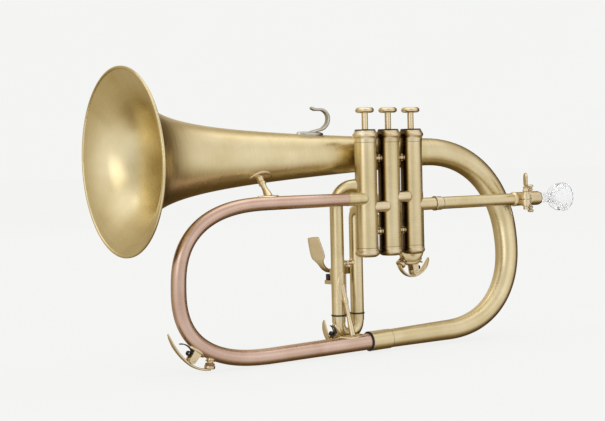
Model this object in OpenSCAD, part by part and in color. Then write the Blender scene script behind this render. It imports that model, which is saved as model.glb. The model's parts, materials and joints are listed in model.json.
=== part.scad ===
// Flugelhorn with three piston valves, slides pointing down and a rose-brass crook.
// +X points to the mouthpiece, +Y to the player's right, +Z up along the valves.
// The origin is on the second valve's axis, half way up its casing.

/* [Valves] */
// Distance between neighbouring valve axes
valve_pitch = 24.6; // [24:0.1:26]
// Outside diameter of a valve casing
casing_d = 19.2; // [18.8:0.1:19.6]
// Bore of a valve casing
casing_bore_d = 16.8; // [16.4:0.1:17]
// Half the length between the two cap joints
joint_z = 45.4; // [44:0.1:47]
// Travel of a piston
stroke = 14; // [10:0.5:15]
// Height of a finger button's underside above the origin
button_z = 70.8; // [70.8:0.1:74]
// Diameter of a finger button
button_d = 16.3; // [14:0.1:18]
// Diameter of a valve stem
stem_d = 5.4; // [4:0.1:6]

/* [Bell] */
// Diameter of the bell rim
bell_d = 152; // [145:0.5:160]
// Distance of the rim from the bell's rear end
bell_l = 301.5; // [295:0.5:305]
// Diameter of the bell's rear end
bell_rear_d = 24.9; // [23:0.1:26]
// Height of the bell's rear end
bell_z = 35.9; // [35:0.1:37]
// Sideways distance of the bell from the valves
bell_y = 28; // [27:0.5:30]
// Fall of the bell's axis towards the rim, in degrees
bell_tilt = 0.4; // [0:0.1:1]
// Thickness of sheet brass in the bell and bow
sheet = 0.6; // [0.5:0.05:0.8]

/* [Main tubing] */
// Outside diameter of the leadpipe
leadpipe_d = 10.9; // [10.8:0.1:11.2]
// Outside diameter of the crook's small end
crook_d1 = 10.6; // [10.2:0.1:11]
// Outside diameter of the crook's large end
crook_d2 = 14.4; // [13.6:0.1:15]
// Outside diameter of the rear bow's small end
bow_d1 = 15.8; // [15.6:0.1:16]
// Height of the lower run at the joint of crook and bow
lower_z = -126.8; // [-128:0.1:-125]
// Rise of the lower run towards the mouthpiece, in degrees
lower_slope = 1.3; // [0:0.1:2]
// Sideways place of the lower run
lower_y = 2; // [1:0.1:3]

/* [Slides] */
// Outside diameter of a slide's outer legs
leg_d = 11.6; // [11.2:0.1:11.8]
// Outside diameter of a slide's bow
slide_bow_d = 10.8; // [10.4:0.1:11]
// Running clearance on the radius
clearance = 0.05; // [0.03:0.01:0.08]
// Distance between the first slide's legs
first_gauge = 17.9; // [17:0.1:19]
// Distance between the third slide's legs
third_gauge = 22; // [20:0.1:23]
// Turn of the first and third slides about the vertical, in degrees
slide_turn = 8; // [7:1:9]
// Travel of the third slide's trigger lever, in degrees
trigger_swing = 40; // [20:1:40]

/* [Mouthpiece] */
// Diameter of the mouthpiece rim
mouthpiece_d = 26.3; // [25:0.1:28]
// Place of the mouthpiece rim along the instrument
mouthpiece_x = 203.5; // [202:0.5:206]

/* [Hidden] */
$fn = 64;

brass = [0.82, 0.72, 0.48];
rose = [0.80, 0.60, 0.47];
nickel = [0.78, 0.77, 0.73];
rubber = [0.06, 0.06, 0.06];
cork = [0.55, 0.38, 0.22];
clear = [0.9, 0.92, 0.95, 0.5];
steel = [0.6, 0.6, 0.6];

// How much thinner an elbow's bend is than its straight ends, and how far it runs into them
bend_step = 0.2;
bend_lap = 0.6;

// Valve block
casing_r = casing_d / 2;
casing_bore_r = casing_bore_d / 2;
piston_r = casing_bore_r - clearance;
thread_r = casing_r - 0.65;
thread_l = 3.6;
chord_y = -3.95;
port_r = 4;
bore_r = 4.7;
// How far the round end on each casing's front is behind its axis, from the mouthpiece's side
nose_back = [8.6, 6.9, 5.9];
// Heights of the ports along the air's way: leadpipe, two knuckles, crook
port_z = [-9.9, -2.5, -10.2, -2.8];
knuckle_r = 5.2;
cap_top_z = 55.4;
felt_t = 1.2;
piston_low = -24;
piston_high = 32;
spring_seat = 5;
cap_floor = -50.8;

// Bell and bow
rim_r = bell_d / 2;
bell_rear_r = bell_rear_d / 2;
flare_start = 16;
flare_power = 0.883;
bell_slope = 0.0293;
bow_x = 59.8;
bow_reach = 85.5;
bow_power = 2.22;
bow_start = -10;
crook_x = -125;
crook_reach = 83.6;
crook_power = 2.54;
crook_top_x = -40;
crook_end_x = -10;

// Slides: [x, y] of the middle between the legs
first_at = [36.3, 18.1];
third_at = [-35.3, 16.2];
leg_r = leg_d / 2;
ferrule_r = leg_r + 0.05;
slide_bow_r = slide_bow_d / 2;
inner_r = leg_r - 0.5 - clearance;
first_bow_z = -50.2;
third_bow_z = -109.6;
first_leg_end = -38;
third_leg_end = -102.6;
high_port = 8.2;
low_port = -12;
ring_t = 1.3;
crook_ring_t = 0.8;
ring_x = -24.2;
second_at_z = [-6, -24];
second_end = 34;

// Leadpipe
ferrule_x = 46;
collar_x = 139;
collar_l = 17;
barrel_end = 171;
screw_y = -12.8;
screw_x = 146.6;
screw_turn = 57;

// Trigger, in the frame of the third slide's legs
pivot_x = 0.4;
pivot_y = 13.4;
pivot_z = -66;
pivot_r = 1.5;
arm_l = 13;
bar_y = 6;
bar_t = 2.2;
bumper_x = -10;
bumper_h = 5.2;
link_pin_r = 1.2;
link_play = 1;

// Water keys
key_half = 2.4;
key_ear_r = 3.1;
key_pin_r = 0.9;
key_drop = 3;
strap_t = 1.5;
strap_w = 4.8;
cork_gap = 0.1;
cork_t = 2.8;
cork_r = 3.9;
cup_r = 4.5;
nipple_l = 5;
nipple_out = 1.6;
slide_key_rise = 7.2;
first_outer = first_gauge / 2 + slide_bow_r;
third_outer = third_gauge / 2 + slide_bow_r;
first_key_post = 8;
first_mouth_a = 53;
third_key_post = 52;
third_mouth_a = 48;
crook_key_turn = 38.5;
crook_key_at = [-197.8, 1.2, -124.5];
crook_mouth = [15.9, 6.9, 30];

// Radius of the bell at a distance from its rim
function bell_line(d) = bell_rear_r + bell_slope * (bell_l - d);
function bell_flare(d) = pow(flare_start / (d + flare_start), flare_power);
function bell_end_flare() = bell_flare(bell_l);
function bell_radius(d) =
    bell_line(d) + (rim_r - bell_line(0)) * (bell_flare(d) - bell_end_flare()) / (1 - bell_end_flare());

// Distances from the rim at which the bell's outline has a point, close together at the flare
bell_steps = 30;
function bell_at(k) = bell_l * pow(k / bell_steps, 2.2);

// Half of a rounded U: a quarter turn each way about its side, angle from -90 to 90
function u_curve(a, reach, half, power) = [
    reach * pow(abs(cos(a)), 2 / power),
    half * sign(sin(a)) * pow(abs(sin(a)), 2 / power)
];

function along(a, b, t) = a + (b - a) * t;
function unit(v) = v / norm(v);
function last(v) = v[len(v) - 1];
function tangent(path, i) =
    unit(path[min(i + 1, len(path) - 1)] - path[max(i - 1, 0)]);

// Distance along a path from its start to each of its points
function distances(path, i = 1, so_far = [0]) =
    i == len(path) ? so_far
    : distances(path, i + 1, concat(so_far, last(so_far) + norm(path[i] - path[i - 1])));

// Radius at each point of a tube that widens evenly from diameter d1 to d2
function taper(path, d1, d2) =
    let (way = distances(path))
    [for (w = way) along(d1, d2, w / last(way)) / 2];

// Ring of points round a path's point, square to the path
function ring_at(path, i, r, side, sides) =
    let (t = tangent(path, i), u = unit(cross(t, side)), v = cross(u, t))
    [for (k = [0:sides - 1]) path[i] + r * (cos(360 * k / sides) * u + sin(360 * k / sides) * v)];

// Open tube swept along a path, its outside radius given at each point
module swept_tube(path, radii, wall, side, sides) {
    n = len(path);
    outer = [for (i = [0:n - 1]) each ring_at(path, i, radii[i], side, sides)];
    inner = [for (i = [0:n - 1]) each ring_at(path, i, radii[i] - wall, side, sides)];
    m = n * sides;
    walls = [
        for (i = [0:n - 2], k = [0:sides - 1])
            let (a = i * sides + k, b = i * sides + (k + 1) % sides)
            each [
                [a, b, b + sides], [a, b + sides, a + sides],
                [m + a, m + b + sides, m + b], [m + a, m + a + sides, m + b + sides]
            ]
    ];
    ends = [
        for (k = [0:sides - 1])
            let (j = (k + 1) % sides, e = (n - 1) * sides)
            each [
                [k, m + k, m + j], [k, m + j, j],
                [e + k, e + j, m + e + j], [e + k, m + e + j, m + e + k]
            ]
    ];
    polyhedron(points = concat(outer, inner), faces = concat(walls, ends));
}

// Solid rod swept along a path
module swept_rod(path, radius, side, sides) {
    n = len(path);
    skin = [for (i = [0:n - 1]) each ring_at(path, i, radius, side, sides)];
    walls = [
        for (i = [0:n - 2], k = [0:sides - 1])
            let (a = i * sides + k, b = i * sides + (k + 1) % sides)
            each [[a, b, b + sides], [a, b + sides, a + sides]]
    ];
    first = [[for (k = [sides - 1:-1:0]) k]];
    end = [[for (k = [0:sides - 1]) (n - 1) * sides + k]];
    polyhedron(points = skin, faces = concat(walls, first, end));
}

// Straight tube or rod along X, from x1 to x2
module along_x(x1, x2, r, hole = 0) {
    translate([x1, 0, 0])
        rotate([0, 90, 0])
            difference() {
                cylinder(r = r, h = x2 - x1);
                if (hole > 0)
                    translate([0, 0, -1])
                        cylinder(r = hole, h = x2 - x1 + 2);
            }
}

// Solid of revolution about X from a list of [x, radius]
module turned_x(outline) {
    rotate([0, 90, 0])
        rotate_extrude()
            polygon([for (p = outline) [p[1], p[0]]]);
}

module at_valve(i) {
    translate([(2 - i) * valve_pitch, 0, 0])
        children();
}

module first_frame() {
    translate([first_at[0], first_at[1], 0])
        rotate([0, 0, slide_turn])
            children();
}

module third_frame() {
    translate([third_at[0], third_at[1], 0])
        rotate([0, 0, slide_turn])
            children();
}

// Place of a slide's leg in the horn's frame: side is -1 or 1
function leg_at(at, gauge, side) =
    [at[0] + side * gauge / 2 * cos(slide_turn), at[1] + side * gauge / 2 * sin(slide_turn)];

// Elbow that leaves a valve square to its axis and turns down into a leg: the straight
// lengths are of radius r, and the bend between them is a little thinner
module elbow(valve, leg, z, bend, r, low) {
    d = leg - valve;
    reach = norm(d);
    translate([valve[0], valve[1], 0])
        rotate([0, 0, atan2(d[1], d[0])]) {
            translate([reach - bend, 0, z - bend])
                rotate([90, 0, 0])
                    rotate_extrude(angle = 90)
                        translate([bend, 0])
                            circle(r = r - bend_step);
            translate([0, 0, z])
                along_x(casing_r / 2, reach - bend + bend_lap, r);
            translate([reach, 0, low])
                cylinder(r = r, h = z - bend - low + bend_lap);
        }
}

// Both outer legs of a slide with their elbows, drilled for the inner legs
module outer_legs(valve, at, gauge, near, bends, low, step) {
    far_leg = leg_at(at, gauge, -near);
    near_leg = leg_at(at, gauge, near);
    difference() {
        union() {
            elbow(valve, near_leg, low_port, bends[0], leg_r, low);
            elbow(valve, far_leg, high_port, bends[1], leg_r, low);
        }
        elbow(valve, near_leg, low_port, bends[0], bore_r, low - 1);
        elbow(valve, far_leg, high_port, bends[1], bore_r, low - 1);
        for (leg = [near_leg, far_leg])
            translate([leg[0], leg[1], low - 1])
                cylinder(r = inner_r + clearance, h = step - low + 1);
        translate([valve[0], valve[1], 0])
            cylinder(r = casing_r, h = 80, center = true);
    }
}

// Two inner legs side by side
module inner_legs(gauge, low, high) {
    for (side = [-1, 1])
        translate([side * gauge / 2, 0, low])
            difference() {
                cylinder(r = inner_r, h = high - low);
                translate([0, 0, -1])
                    cylinder(r = bore_r, h = high - low + 2);
            }
}

// Bow that joins two inner legs, with its ferrules
module slide_bow(gauge, z, ferrule_top) {
    translate([0, 0, z])
        rotate([-90, 0, 0])
            rotate_extrude(angle = 180)
                translate([gauge / 2, 0])
                    difference() {
                        circle(r = slide_bow_r);
                        circle(r = bore_r);
                    }
    for (side = [-1, 1])
        translate([side * gauge / 2, 0, z])
            difference() {
                cylinder(r = ferrule_r, h = ferrule_top - z);
                translate([0, 0, -1])
                    cylinder(r = inner_r, h = ferrule_top - z + 2);
            }
}

// ---- Bell, bow and crook ----

module bell_frame() {
    translate([bow_x, bell_y, bell_z])
        rotate([0, -bell_tilt, 0])
            children();
}

module bell() {
    outside = [for (k = [0:bell_steps]) [-bell_l + bell_at(k), bell_radius(bell_at(k))]];
    inside = [for (k = [bell_steps:-1:0]) [-bell_l + bell_at(k), bell_radius(bell_at(k)) - sheet]];
    color(brass)
        bell_frame()
            turned_x(concat(outside, inside));
}

module bell_rim_wire() {
    bead_r = 1.2;
    face_w = 0.8;
    color(brass)
        bell_frame()
            translate([-bell_l, 0, 0])
                rotate([0, -90, 0])
                    rotate_extrude()
                        translate([rim_r - bead_r, -0.6]) {
                            circle(r = bead_r);
                            translate([-face_w / 2, 0])
                                square([face_w, bead_r]);
                        }
}

// Point on the axis of the lower run
function lower_at(x) = [x, lower_y, lower_z + (x + 20) * tan(lower_slope)];

bow_top = [bow_x, bell_y, bell_z];
bow_low = lower_at(bow_x);
bow_mid = (bow_top + bow_low) / 2;
bow_half = (bow_top - bow_low) / 2;
bow_turn_steps = 30;
bow_path = concat(
    [for (k = [0:4]) lower_at(along(bow_start, bow_x, k / 5))],
    [
        for (k = [0:bow_turn_steps])
            let (p = u_curve(-90 + 180 * k / bow_turn_steps, bow_reach, 1, bow_power))
            bow_mid + [p[0], 0, 0] + bow_half * p[1]
    ]
);

module rear_bow() {
    color(brass)
        swept_tube(bow_path, taper(bow_path, bow_d1, bell_rear_d), sheet, [0, 1, 0], 24);
}

crook_low = lower_at(crook_x);
crook_high = [crook_x, chord_y, port_z[3]];
crook_mid = (crook_high + crook_low) / 2;
crook_half = (crook_high - crook_low) / 2;
crook_turn_steps = 26;
crook_path = concat(
    [for (k = [0:2]) [along(crook_top_x, crook_x, k / 3), chord_y, port_z[3]]],
    [
        for (k = [0:crook_turn_steps])
            let (p = u_curve(90 - 180 * k / crook_turn_steps, crook_reach, 1, crook_power))
            crook_mid + [-p[0], 0, 0] + crook_half * p[1]
    ],
    [for (k = [1:3]) lower_at(along(crook_x, crook_end_x, k / 3))]
);

module crook() {
    color(rose)
        swept_tube(crook_path, taper(crook_path, crook_d1, crook_d2), sheet, [0, 1, 0], 20);
}

// Frame along the lower run, from the black ring towards the bow
module lower_frame() {
    translate(lower_at(ring_x))
        rotate([0, -lower_slope, 0])
            children();
}

module crook_ring() {
    color(rubber)
        lower_frame()
            along_x(0, crook_ring_t, 8.6, crook_d2 / 2 + 0.08);
}

module bow_ferrule() {
    crook_bore = crook_d2 / 2 + 0.08;
    bow_bore = bow_d1 / 2 + 0.2;
    step = bow_start - ring_x;
    end = -2 - ring_x;
    color(brass)
        lower_frame()
            turned_x([
                [crook_ring_t, crook_bore], [crook_ring_t, 8.3], [crook_ring_t + 0.4, 8.5],
                [end - 0.6, 8.5], [end, 8.3], [end, bow_bore], [step, bow_bore], [step, crook_bore]
            ]);
}

module crook_sleeve() {
    x1 = crook_top_x - 8;
    x2 = -valve_pitch - nose_back[2];
    color(brass)
        difference() {
            translate([0, chord_y, port_z[3]])
                union() {
                    turned_x([
                        [x1, crook_d1 / 2 + 0.05], [x1, 5.6], [-36.6, 5.6], [-36.2, 5.3],
                        [x2, 5.3], [x2, bore_r], [crook_top_x, bore_r], [crook_top_x, crook_d1 / 2 + 0.05]
                    ]);
                    translate([x2, 0, 0])
                        nose(5.3);
                }
            at_valve(3)
                cylinder(r = casing_r, h = 40, center = true);
        }
}

// ---- Valves ----

// Radial port through a casing's wall towards a slide's leg
module slide_port(valve, leg, z) {
    d = leg - valve;
    rotate([0, 0, atan2(d[1], d[0])])
        translate([0, 0, z])
            along_x(2, casing_r + 1, bore_r);
}

module valve_casing(i) {
    valve = [(2 - i) * valve_pitch, 0];
    color(brass)
        at_valve(i)
            difference() {
                union() {
                    cylinder(r = casing_r, h = 2 * joint_z, center = true);
                    cylinder(r = thread_r, h = 2 * (joint_z + thread_l), center = true);
                }
                cylinder(r = casing_bore_r, h = 120, center = true);
                translate([0, chord_y, port_z[i - 1]])
                    along_x(0, casing_r + 1, port_r);
                translate([0, chord_y, port_z[i]])
                    along_x(-casing_r - 1, 0, port_r);
                if (i == 1) {
                    slide_port(valve, leg_at(first_at, first_gauge, -1), low_port);
                    slide_port(valve, leg_at(first_at, first_gauge, 1), high_port);
                }
                if (i == 2)
                    for (z = second_at_z)
                        slide_port([0, 0], [0, 1], z);
                if (i == 3) {
                    slide_port(valve, leg_at(third_at, third_gauge, 1), low_port);
                    slide_port(valve, leg_at(third_at, third_gauge, -1), high_port);
                }
            }
}

module top_cap() {
    rotate_extrude()
        polygon([
            [thread_r + 0.02, joint_z], [9.75, joint_z], [9.85, 48.6], [10.3, 49.6], [10.95, 50.6],
            [11.05, 51.6], [10.8, 52.6], [10.1, 53.6], [9.5, 54.6], [9.3, cap_top_z],
            [stem_d / 2 + 0.3, cap_top_z], [stem_d / 2 + 0.3, 52.4], [thread_r + 0.02, 52.4]
        ]);
}

module bottom_cap() {
    rotate_extrude()
        polygon([
            [thread_r + 0.02, -joint_z], [9.75, -joint_z], [9.85, -47.8], [10.4, -48.6],
            [10.7, -49.6], [10.5, -50.8], [9.8, -51.8], [8.6, -52.6], [7.4, -53.2], [3, -53.5],
            [2, -53.3], [1, -53.3], [1, cap_floor], [thread_r + 0.02, cap_floor]
        ]);
}

module top_caps() {
    color(brass)
        for (i = [1:3])
            at_valve(i)
                top_cap();
}

module bottom_caps() {
    color(brass)
        for (i = [1:3])
            at_valve(i)
                bottom_cap();
}

module cap_felts() {
    color(rubber)
        for (i = [1:3])
            at_valve(i)
                translate([0, 0, cap_top_z])
                    difference() {
                        cylinder(r = 8.9, h = felt_t);
                        translate([0, 0, -1])
                            cylinder(r = stem_d / 2 + 0.3, h = felt_t + 2);
                    }
}

// Hollow round end of a tube that runs on to a casing's front
module nose(r) {
    rotate([0, 90, 0])
        rotate_extrude()
            intersection() {
                difference() {
                    circle(r = r);
                    circle(r = port_r);
                }
                square([r, r]);
            }
}

module valve_knuckles() {
    color(brass)
        for (i = [1, 2]) {
            nose_x = (2 - i) * valve_pitch - nose_back[i - 1];
            difference() {
                translate([0, chord_y, port_z[i]]) {
                    along_x((1 - i) * valve_pitch, nose_x, knuckle_r, port_r);
                    translate([nose_x, 0, 0])
                        nose(knuckle_r);
                }
                for (j = [i, i + 1])
                    at_valve(j)
                        cylinder(r = casing_r, h = 60, center = true);
            }
        }
}

// Turned spacers between the casings, top and bottom
module valve_braces() {
    color(brass)
        for (i = [1, 2], z = [-31.7, 31.7])
            difference() {
                translate([(1.5 - i) * valve_pitch, 0, z])
                    turned_x([
                        [-4, 0], [-4, 3.1], [-2.2, 3.1], [-1.6, 2.1], [-1.1, 2.1], [-0.6, 2.7],
                        [0.6, 2.7], [1.1, 2.1], [1.6, 2.1], [2.2, 3.1], [4, 3.1], [4, 0]
                    ]);
                for (j = [i, i + 1])
                    at_valve(j)
                        cylinder(r = casing_r, h = 100, center = true);
            }
}

// Slanted way through a piston at chord depth, from one port to the other
module piston_way(z1, z2) {
    l = 2 * casing_r;
    translate([0, chord_y, (z1 + z2) / 2])
        rotate([0, atan2(z2 - z1, l), 0])
            along_x(-l, l, 3.4);
}

module piston(i) {
    color(steel)
        at_valve(i)
            difference() {
                translate([0, 0, piston_low])
                    cylinder(r = piston_r, h = piston_high - piston_low);
                piston_way(port_z[i - 1], port_z[i]);
                translate([0, 0, piston_low - 1])
                    cylinder(r = 6.8, h = spring_seat + 1);
                translate([0, 0, piston_high - 8])
                    difference() {
                        cylinder(r = 6.8, h = 9);
                        translate([0, 0, -1])
                            cylinder(r = 4, h = 11);
                    }
                translate([0, 2, (port_z[i - 1] + port_z[i]) / 2 + stroke])
                    rotate([-90, 0, 0])
                        cylinder(r = 3.6, h = 10);
            }
}

module valve_stem(i) {
    color(nickel)
        at_valve(i)
            translate([0, 0, piston_high])
                cylinder(d = stem_d, h = button_z - piston_high);
}

module finger_button(i) {
    r = button_d / 2;
    color(brass)
        at_valve(i)
            translate([0, 0, button_z])
                rotate_extrude()
                    polygon([
                        [0, 0], [r - 2.4, 0], [r - 1.2, 0.3], [r - 0.3, 1.1], [r, 2.2], [r - 0.3, 3.3],
                        [r - 1.1, 4.2], [r - 2.2, 4.6], [r - 3.4, 4.4], [0, 4.4]
                    ]);
}

// Coil spring from the bottom cap's floor to the piston's seat
module valve_spring(i) {
    turns = 6;
    steps = 10;
    coil_r = 5.8;
    wire_r = 0.45;
    low = cap_floor + wire_r + 0.05;
    high = piston_low + spring_seat - wire_r - 0.05;
    count = turns * steps;
    path = [
        for (k = [0:count])
            [coil_r * cos(360 * k / steps), coil_r * sin(360 * k / steps), along(low, high, k / count)]
    ];
    color(steel)
        at_valve(i)
            swept_rod(path, wire_r, [0, 0, 1], 6);
}

// ---- Leadpipe, clamp and mouthpiece ----

leadpipe_r = leadpipe_d / 2;
pipe_bore_r = 4.5;
inner_pipe_r = 4.85;
inner_pipe_x = 104;
ear_r = 4.6;

module leadpipe() {
    color(brass)
        difference() {
            translate([0, chord_y, port_z[0]])
                turned_x([
                    [valve_pitch, pipe_bore_r], [valve_pitch, leadpipe_r], [collar_x - 1.6, leadpipe_r],
                    [collar_x - 0.8, 6.2], [collar_x, 6.7], [collar_x + 1.4, 6.7], [collar_x + 2.2, 6.2],
                    [collar_x + 2.6, leadpipe_r], [collar_x + 2.6, inner_pipe_r + clearance],
                    [inner_pipe_x, inner_pipe_r + clearance], [inner_pipe_x, pipe_bore_r]
                ]);
            at_valve(1)
                cylinder(r = casing_r, h = 40, center = true);
        }
}

module leadpipe_ferrule() {
    color(brass)
        translate([ferrule_x, chord_y, port_z[0]])
            turned_x([
                [0, leadpipe_r], [0, 6.2], [0.3, 6.5], [1.2, 6.5], [1.6, 6.1],
                [7.4, 6], [7.9, 5.7], [7.9, leadpipe_r]
            ]);
}

// Split collar with two ears in front, which the thumbscrew draws together
module clamp_collar() {
    x1 = collar_x + 2.6;
    x2 = collar_x + collar_l;
    color(brass)
        translate([0, chord_y, port_z[0]])
            difference() {
                union() {
                    along_x(x1, x2, 6.3);
                    translate([screw_x, screw_y - chord_y, -5])
                        cylinder(r = ear_r, h = 10);
                    translate([screw_x - ear_r, screw_y - chord_y, -5])
                        cube([2 * ear_r, 5, 10]);
                    for (z = [5, -6.6])
                        translate([screw_x, screw_y - chord_y, z])
                            cylinder(r = 3.2, h = 1.6);
                }
                translate([x1 - 1, 0, 0])
                    along_x(0, x2 - x1 + 2, inner_pipe_r + clearance);
                translate([x1 - 1, -20, -0.4])
                    cube([x2 - x1 + 2, 20, 0.8]);
                translate([screw_x, screw_y - chord_y, -10])
                    cylinder(r = 1.8 + clearance, h = 20);
            }
}

// Winged screw: its shank turns in the collar's ears
module clamp_screw() {
    color(brass)
        translate([screw_x, screw_y, port_z[0]]) {
            translate([0, 0, -9.6])
                cylinder(r = 1.8, h = 22);
            translate([0, 0, -9.6])
                cylinder(r = 2.3, h = 2.7);
            translate([0, 0, 6.9])
                rotate_extrude()
                    polygon([[0, 0], [2.9, 0], [2.9, 1.2], [2.2, 2], [2.2, 3.4], [2.7, 4.2], [0, 5]]);
            rotate([0, 0, screw_turn])
                translate([0, 1.25, 17.2])
                    rotate([90, 0, 0])
                        cylinder(r = 7, h = 2.5);
        }
}

// Sliding mouthpipe with the receiver barrel and its two pull knobs
module mouthpipe() {
    barrel_x = collar_x + collar_l + 0.4;
    color(brass)
        translate([0, chord_y, port_z[0]])
            difference() {
                union() {
                    along_x(inner_pipe_x + 0.5, barrel_x + 2, inner_pipe_r);
                    turned_x([
                        [barrel_x, 0], [barrel_x, 6.2], [barrel_x + 0.8, 6.5], [barrel_end - 2.5, 6.5],
                        [barrel_end - 0.8, 6], [barrel_end, 5.2], [barrel_end, 0]
                    ]);
                    for (side = [0, 180])
                        rotate([side, 0, 0])
                            translate([barrel_x + 4, 0, 5.5])
                                rotate_extrude()
                                    polygon([
                                        [0, 0], [2, 0], [1.6, 1.6], [2.5, 2.5], [2.5, 3.2], [1.5, 4.1],
                                        [1.5, 4.5], [2.8, 5.4], [2.9, 6.2], [2.2, 7.2], [0, 7.5]
                                    ]);
                }
                along_x(inner_pipe_x, barrel_end + 1, 4.2);
                turned_x([
                    [barrel_end - 12, 0], [barrel_end - 12, 4.5], [barrel_end + 1, 4.85], [barrel_end + 1, 0]
                ]);
            }
}

module mouthpiece() {
    r = mouthpiece_d / 2;
    x2 = mouthpiece_x;
    x1 = barrel_end - 11;
    color(clear)
        translate([0, chord_y, port_z[0]])
            turned_x([
                [x1, 3.4], [x1, 4.45], [barrel_end + 1, 4.78], [barrel_end + 4, 4.7], [x2 - 22, 4.1],
                [x2 - 19, 4.3], [x2 - 16.5, 6], [x2 - 14.5, 9], [x2 - 12, 11.4], [x2 - 9.5, 12.4],
                [x2 - 8, 12.5], [x2 - 7.5, 12], [x2 - 7, 12.6], [x2 - 4.5, r - 0.1], [x2 - 1.2, r],
                [x2 - 0.3, r - 0.8], [x2, r - 2.2], [x2 - 0.2, r - 3.8], [x2 - 1.2, r - 4.6],
                [x2 - 4, 8], [x2 - 9, 6.6], [x2 - 14, 4.2], [x2 - 18, 2], [x2 - 22, 2], [x1, 3.4]
            ]);
}

// ---- Slides ----

first_valve = [valve_pitch, 0];
third_valve = [-valve_pitch, 0];

module first_slide_tubes() {
    color(brass)
        outer_legs(first_valve, first_at, first_gauge, -1, [7.2, 15], first_leg_end, -21);
}

module first_slide_legs() {
    color(brass)
        first_frame()
            inner_legs(first_gauge, first_bow_z + 0.5, -22);
}

module first_slide_bow() {
    color(brass)
        first_frame()
            slide_bow(first_gauge, first_bow_z, first_leg_end - 0.1);
}

module third_slide_tubes() {
    color(brass)
        outer_legs(third_valve, third_at, third_gauge, 1, [8, 15.4], third_leg_end, -24);
}

module third_slide_legs() {
    color(brass)
        third_frame()
            inner_legs(third_gauge, third_bow_z + 0.5, -40);
}

module third_slide_bow() {
    color(brass)
        third_frame() {
            slide_bow(third_gauge, third_bow_z, third_leg_end - 0.1 - ring_t);
        }
}

module third_slide_rings() {
    color(rubber)
        third_frame()
            for (side = [-1, 1])
                translate([side * third_gauge / 2, 0, third_leg_end - 0.1 - ring_t])
                    difference() {
                        cylinder(r = 6.4, h = ring_t);
                        translate([0, 0, -1])
                            cylinder(r = inner_r, h = ring_t + 2);
                    }
}

// The second slide lies level behind its valve, one leg above the other
module second_slide_tubes() {
    color(brass)
        difference() {
            for (z = second_at_z)
                translate([0, 0, z])
                    rotate([0, 0, 90])
                        along_x(casing_bore_r, second_end, leg_r, inner_r + clearance);
            cylinder(r = casing_r, h = 80, center = true);
        }
}

module second_slide() {
    mid = (second_at_z[0] + second_at_z[1]) / 2;
    half = (second_at_z[0] - second_at_z[1]) / 2;
    y1 = second_end + 0.1;
    bow_y = y1 + 4;
    color(brass) {
        for (z = second_at_z)
            translate([0, 0, z])
                rotate([0, 0, 90]) {
                    along_x(14, bow_y, inner_r, bore_r);
                    along_x(y1, bow_y, ferrule_r, inner_r);
                }
        translate([0, bow_y, mid])
            rotate([0, 90, 0])
                rotate_extrude(angle = 180)
                        translate([half, 0])
                            difference() {
                                circle(r = slide_bow_r);
                                circle(r = bore_r);
                            }
        translate([0, bow_y + half + slide_bow_r - 0.3, mid])
            rotate([-90, 0, 0])
                rotate_extrude()
                    polygon([[0, 0], [2, 0], [1.6, 2], [2.8, 3.4], [3.1, 4.6], [2.4, 5.8], [0, 6.2]]);
    }
}

// Turned rod between the third slide's outer legs
module third_slide_brace() {
    w = third_gauge / 2;
    color(brass)
        third_frame()
            difference() {
                translate([0, 0, -58.5])
                    turned_x([
                        [-w + 4, 0], [-w + 4, 3.4], [-w + 6, 3.4], [-w + 6.8, 2], [-1, 1.7], [0, 2.3],
                        [1, 1.7], [w - 6.8, 2], [w - 6, 3.4], [w - 4, 3.4], [w - 4, 0]
                    ]);
                for (side = [-1, 1])
                    translate([side * w, 0, -58.5])
                        cylinder(r = leg_r, h = 20, center = true);
            }
}

// ---- Trigger of the third slide, in the frame of the slide's legs ----

// Bar across the legs with the lever's pin and the rest for its bumper
module trigger_post() {
    w = third_gauge / 2;
    color(brass)
        third_frame()
            difference() {
                union() {
                    translate([-w - 2, bar_y, pivot_z - 3])
                        cube([2 * w + 4, bar_t, 6]);
                    for (side = [-1, 1])
                        translate([side * w - 2, 3, pivot_z - 3])
                            cube([4, bar_y + bar_t - 3, 6]);
                    translate([pivot_x, bar_y, pivot_z])
                        rotate([-90, 0, 0])
                            cylinder(r = pivot_r, h = pivot_y + 3.4 - bar_y);
                    translate([pivot_x, pivot_y + 2.2, pivot_z])
                        rotate([-90, 0, 0])
                            cylinder(r = 2.6, h = 1.2);
                    translate([bumper_x - 2.4, bar_y, pivot_z - 11])
                        cube([4.8, bar_t, 9]);
                    translate([bumper_x - 2.4, bar_y, pivot_z - 11])
                        cube([4.8, pivot_y + 2.4 - bar_y, 3.4]);
                }
                for (side = [-1, 1])
                    translate([side * w, 0, pivot_z])
                        cylinder(r = leg_r, h = 40, center = true);
            }
}

module trigger_bumper() {
    color(rubber)
        third_frame()
            translate([bumper_x, pivot_y, pivot_z - 7.6])
                cylinder(r = 2.2, h = bumper_h);
}

// One straight length of the lever between two round cross-bars
module lever_span(p, q) {
    hull()
        for (end = [p, q])
            translate([end[0], end[1], end[2]])
                rotate([90, 0, 0])
                    cylinder(r = end[3], h = end[4], center = true, $fn = 32);
}

// Each cross-bar of the lever from its pivot to the finger pad: x, y, z, radius, width
lever_bars = [
    [-1, 0, 0.4, 1.7, 3.6], [-11, 0, 0.6, 1.7, 3.6], [-15, 0, 3.4, 1.4, 5],
    [-20.4, 0, 10, 1, 9], [-23.8, 0, 19, 0.9, 13], [-26.8, 0, 29.8, 0.9, 13.5]
];

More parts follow.
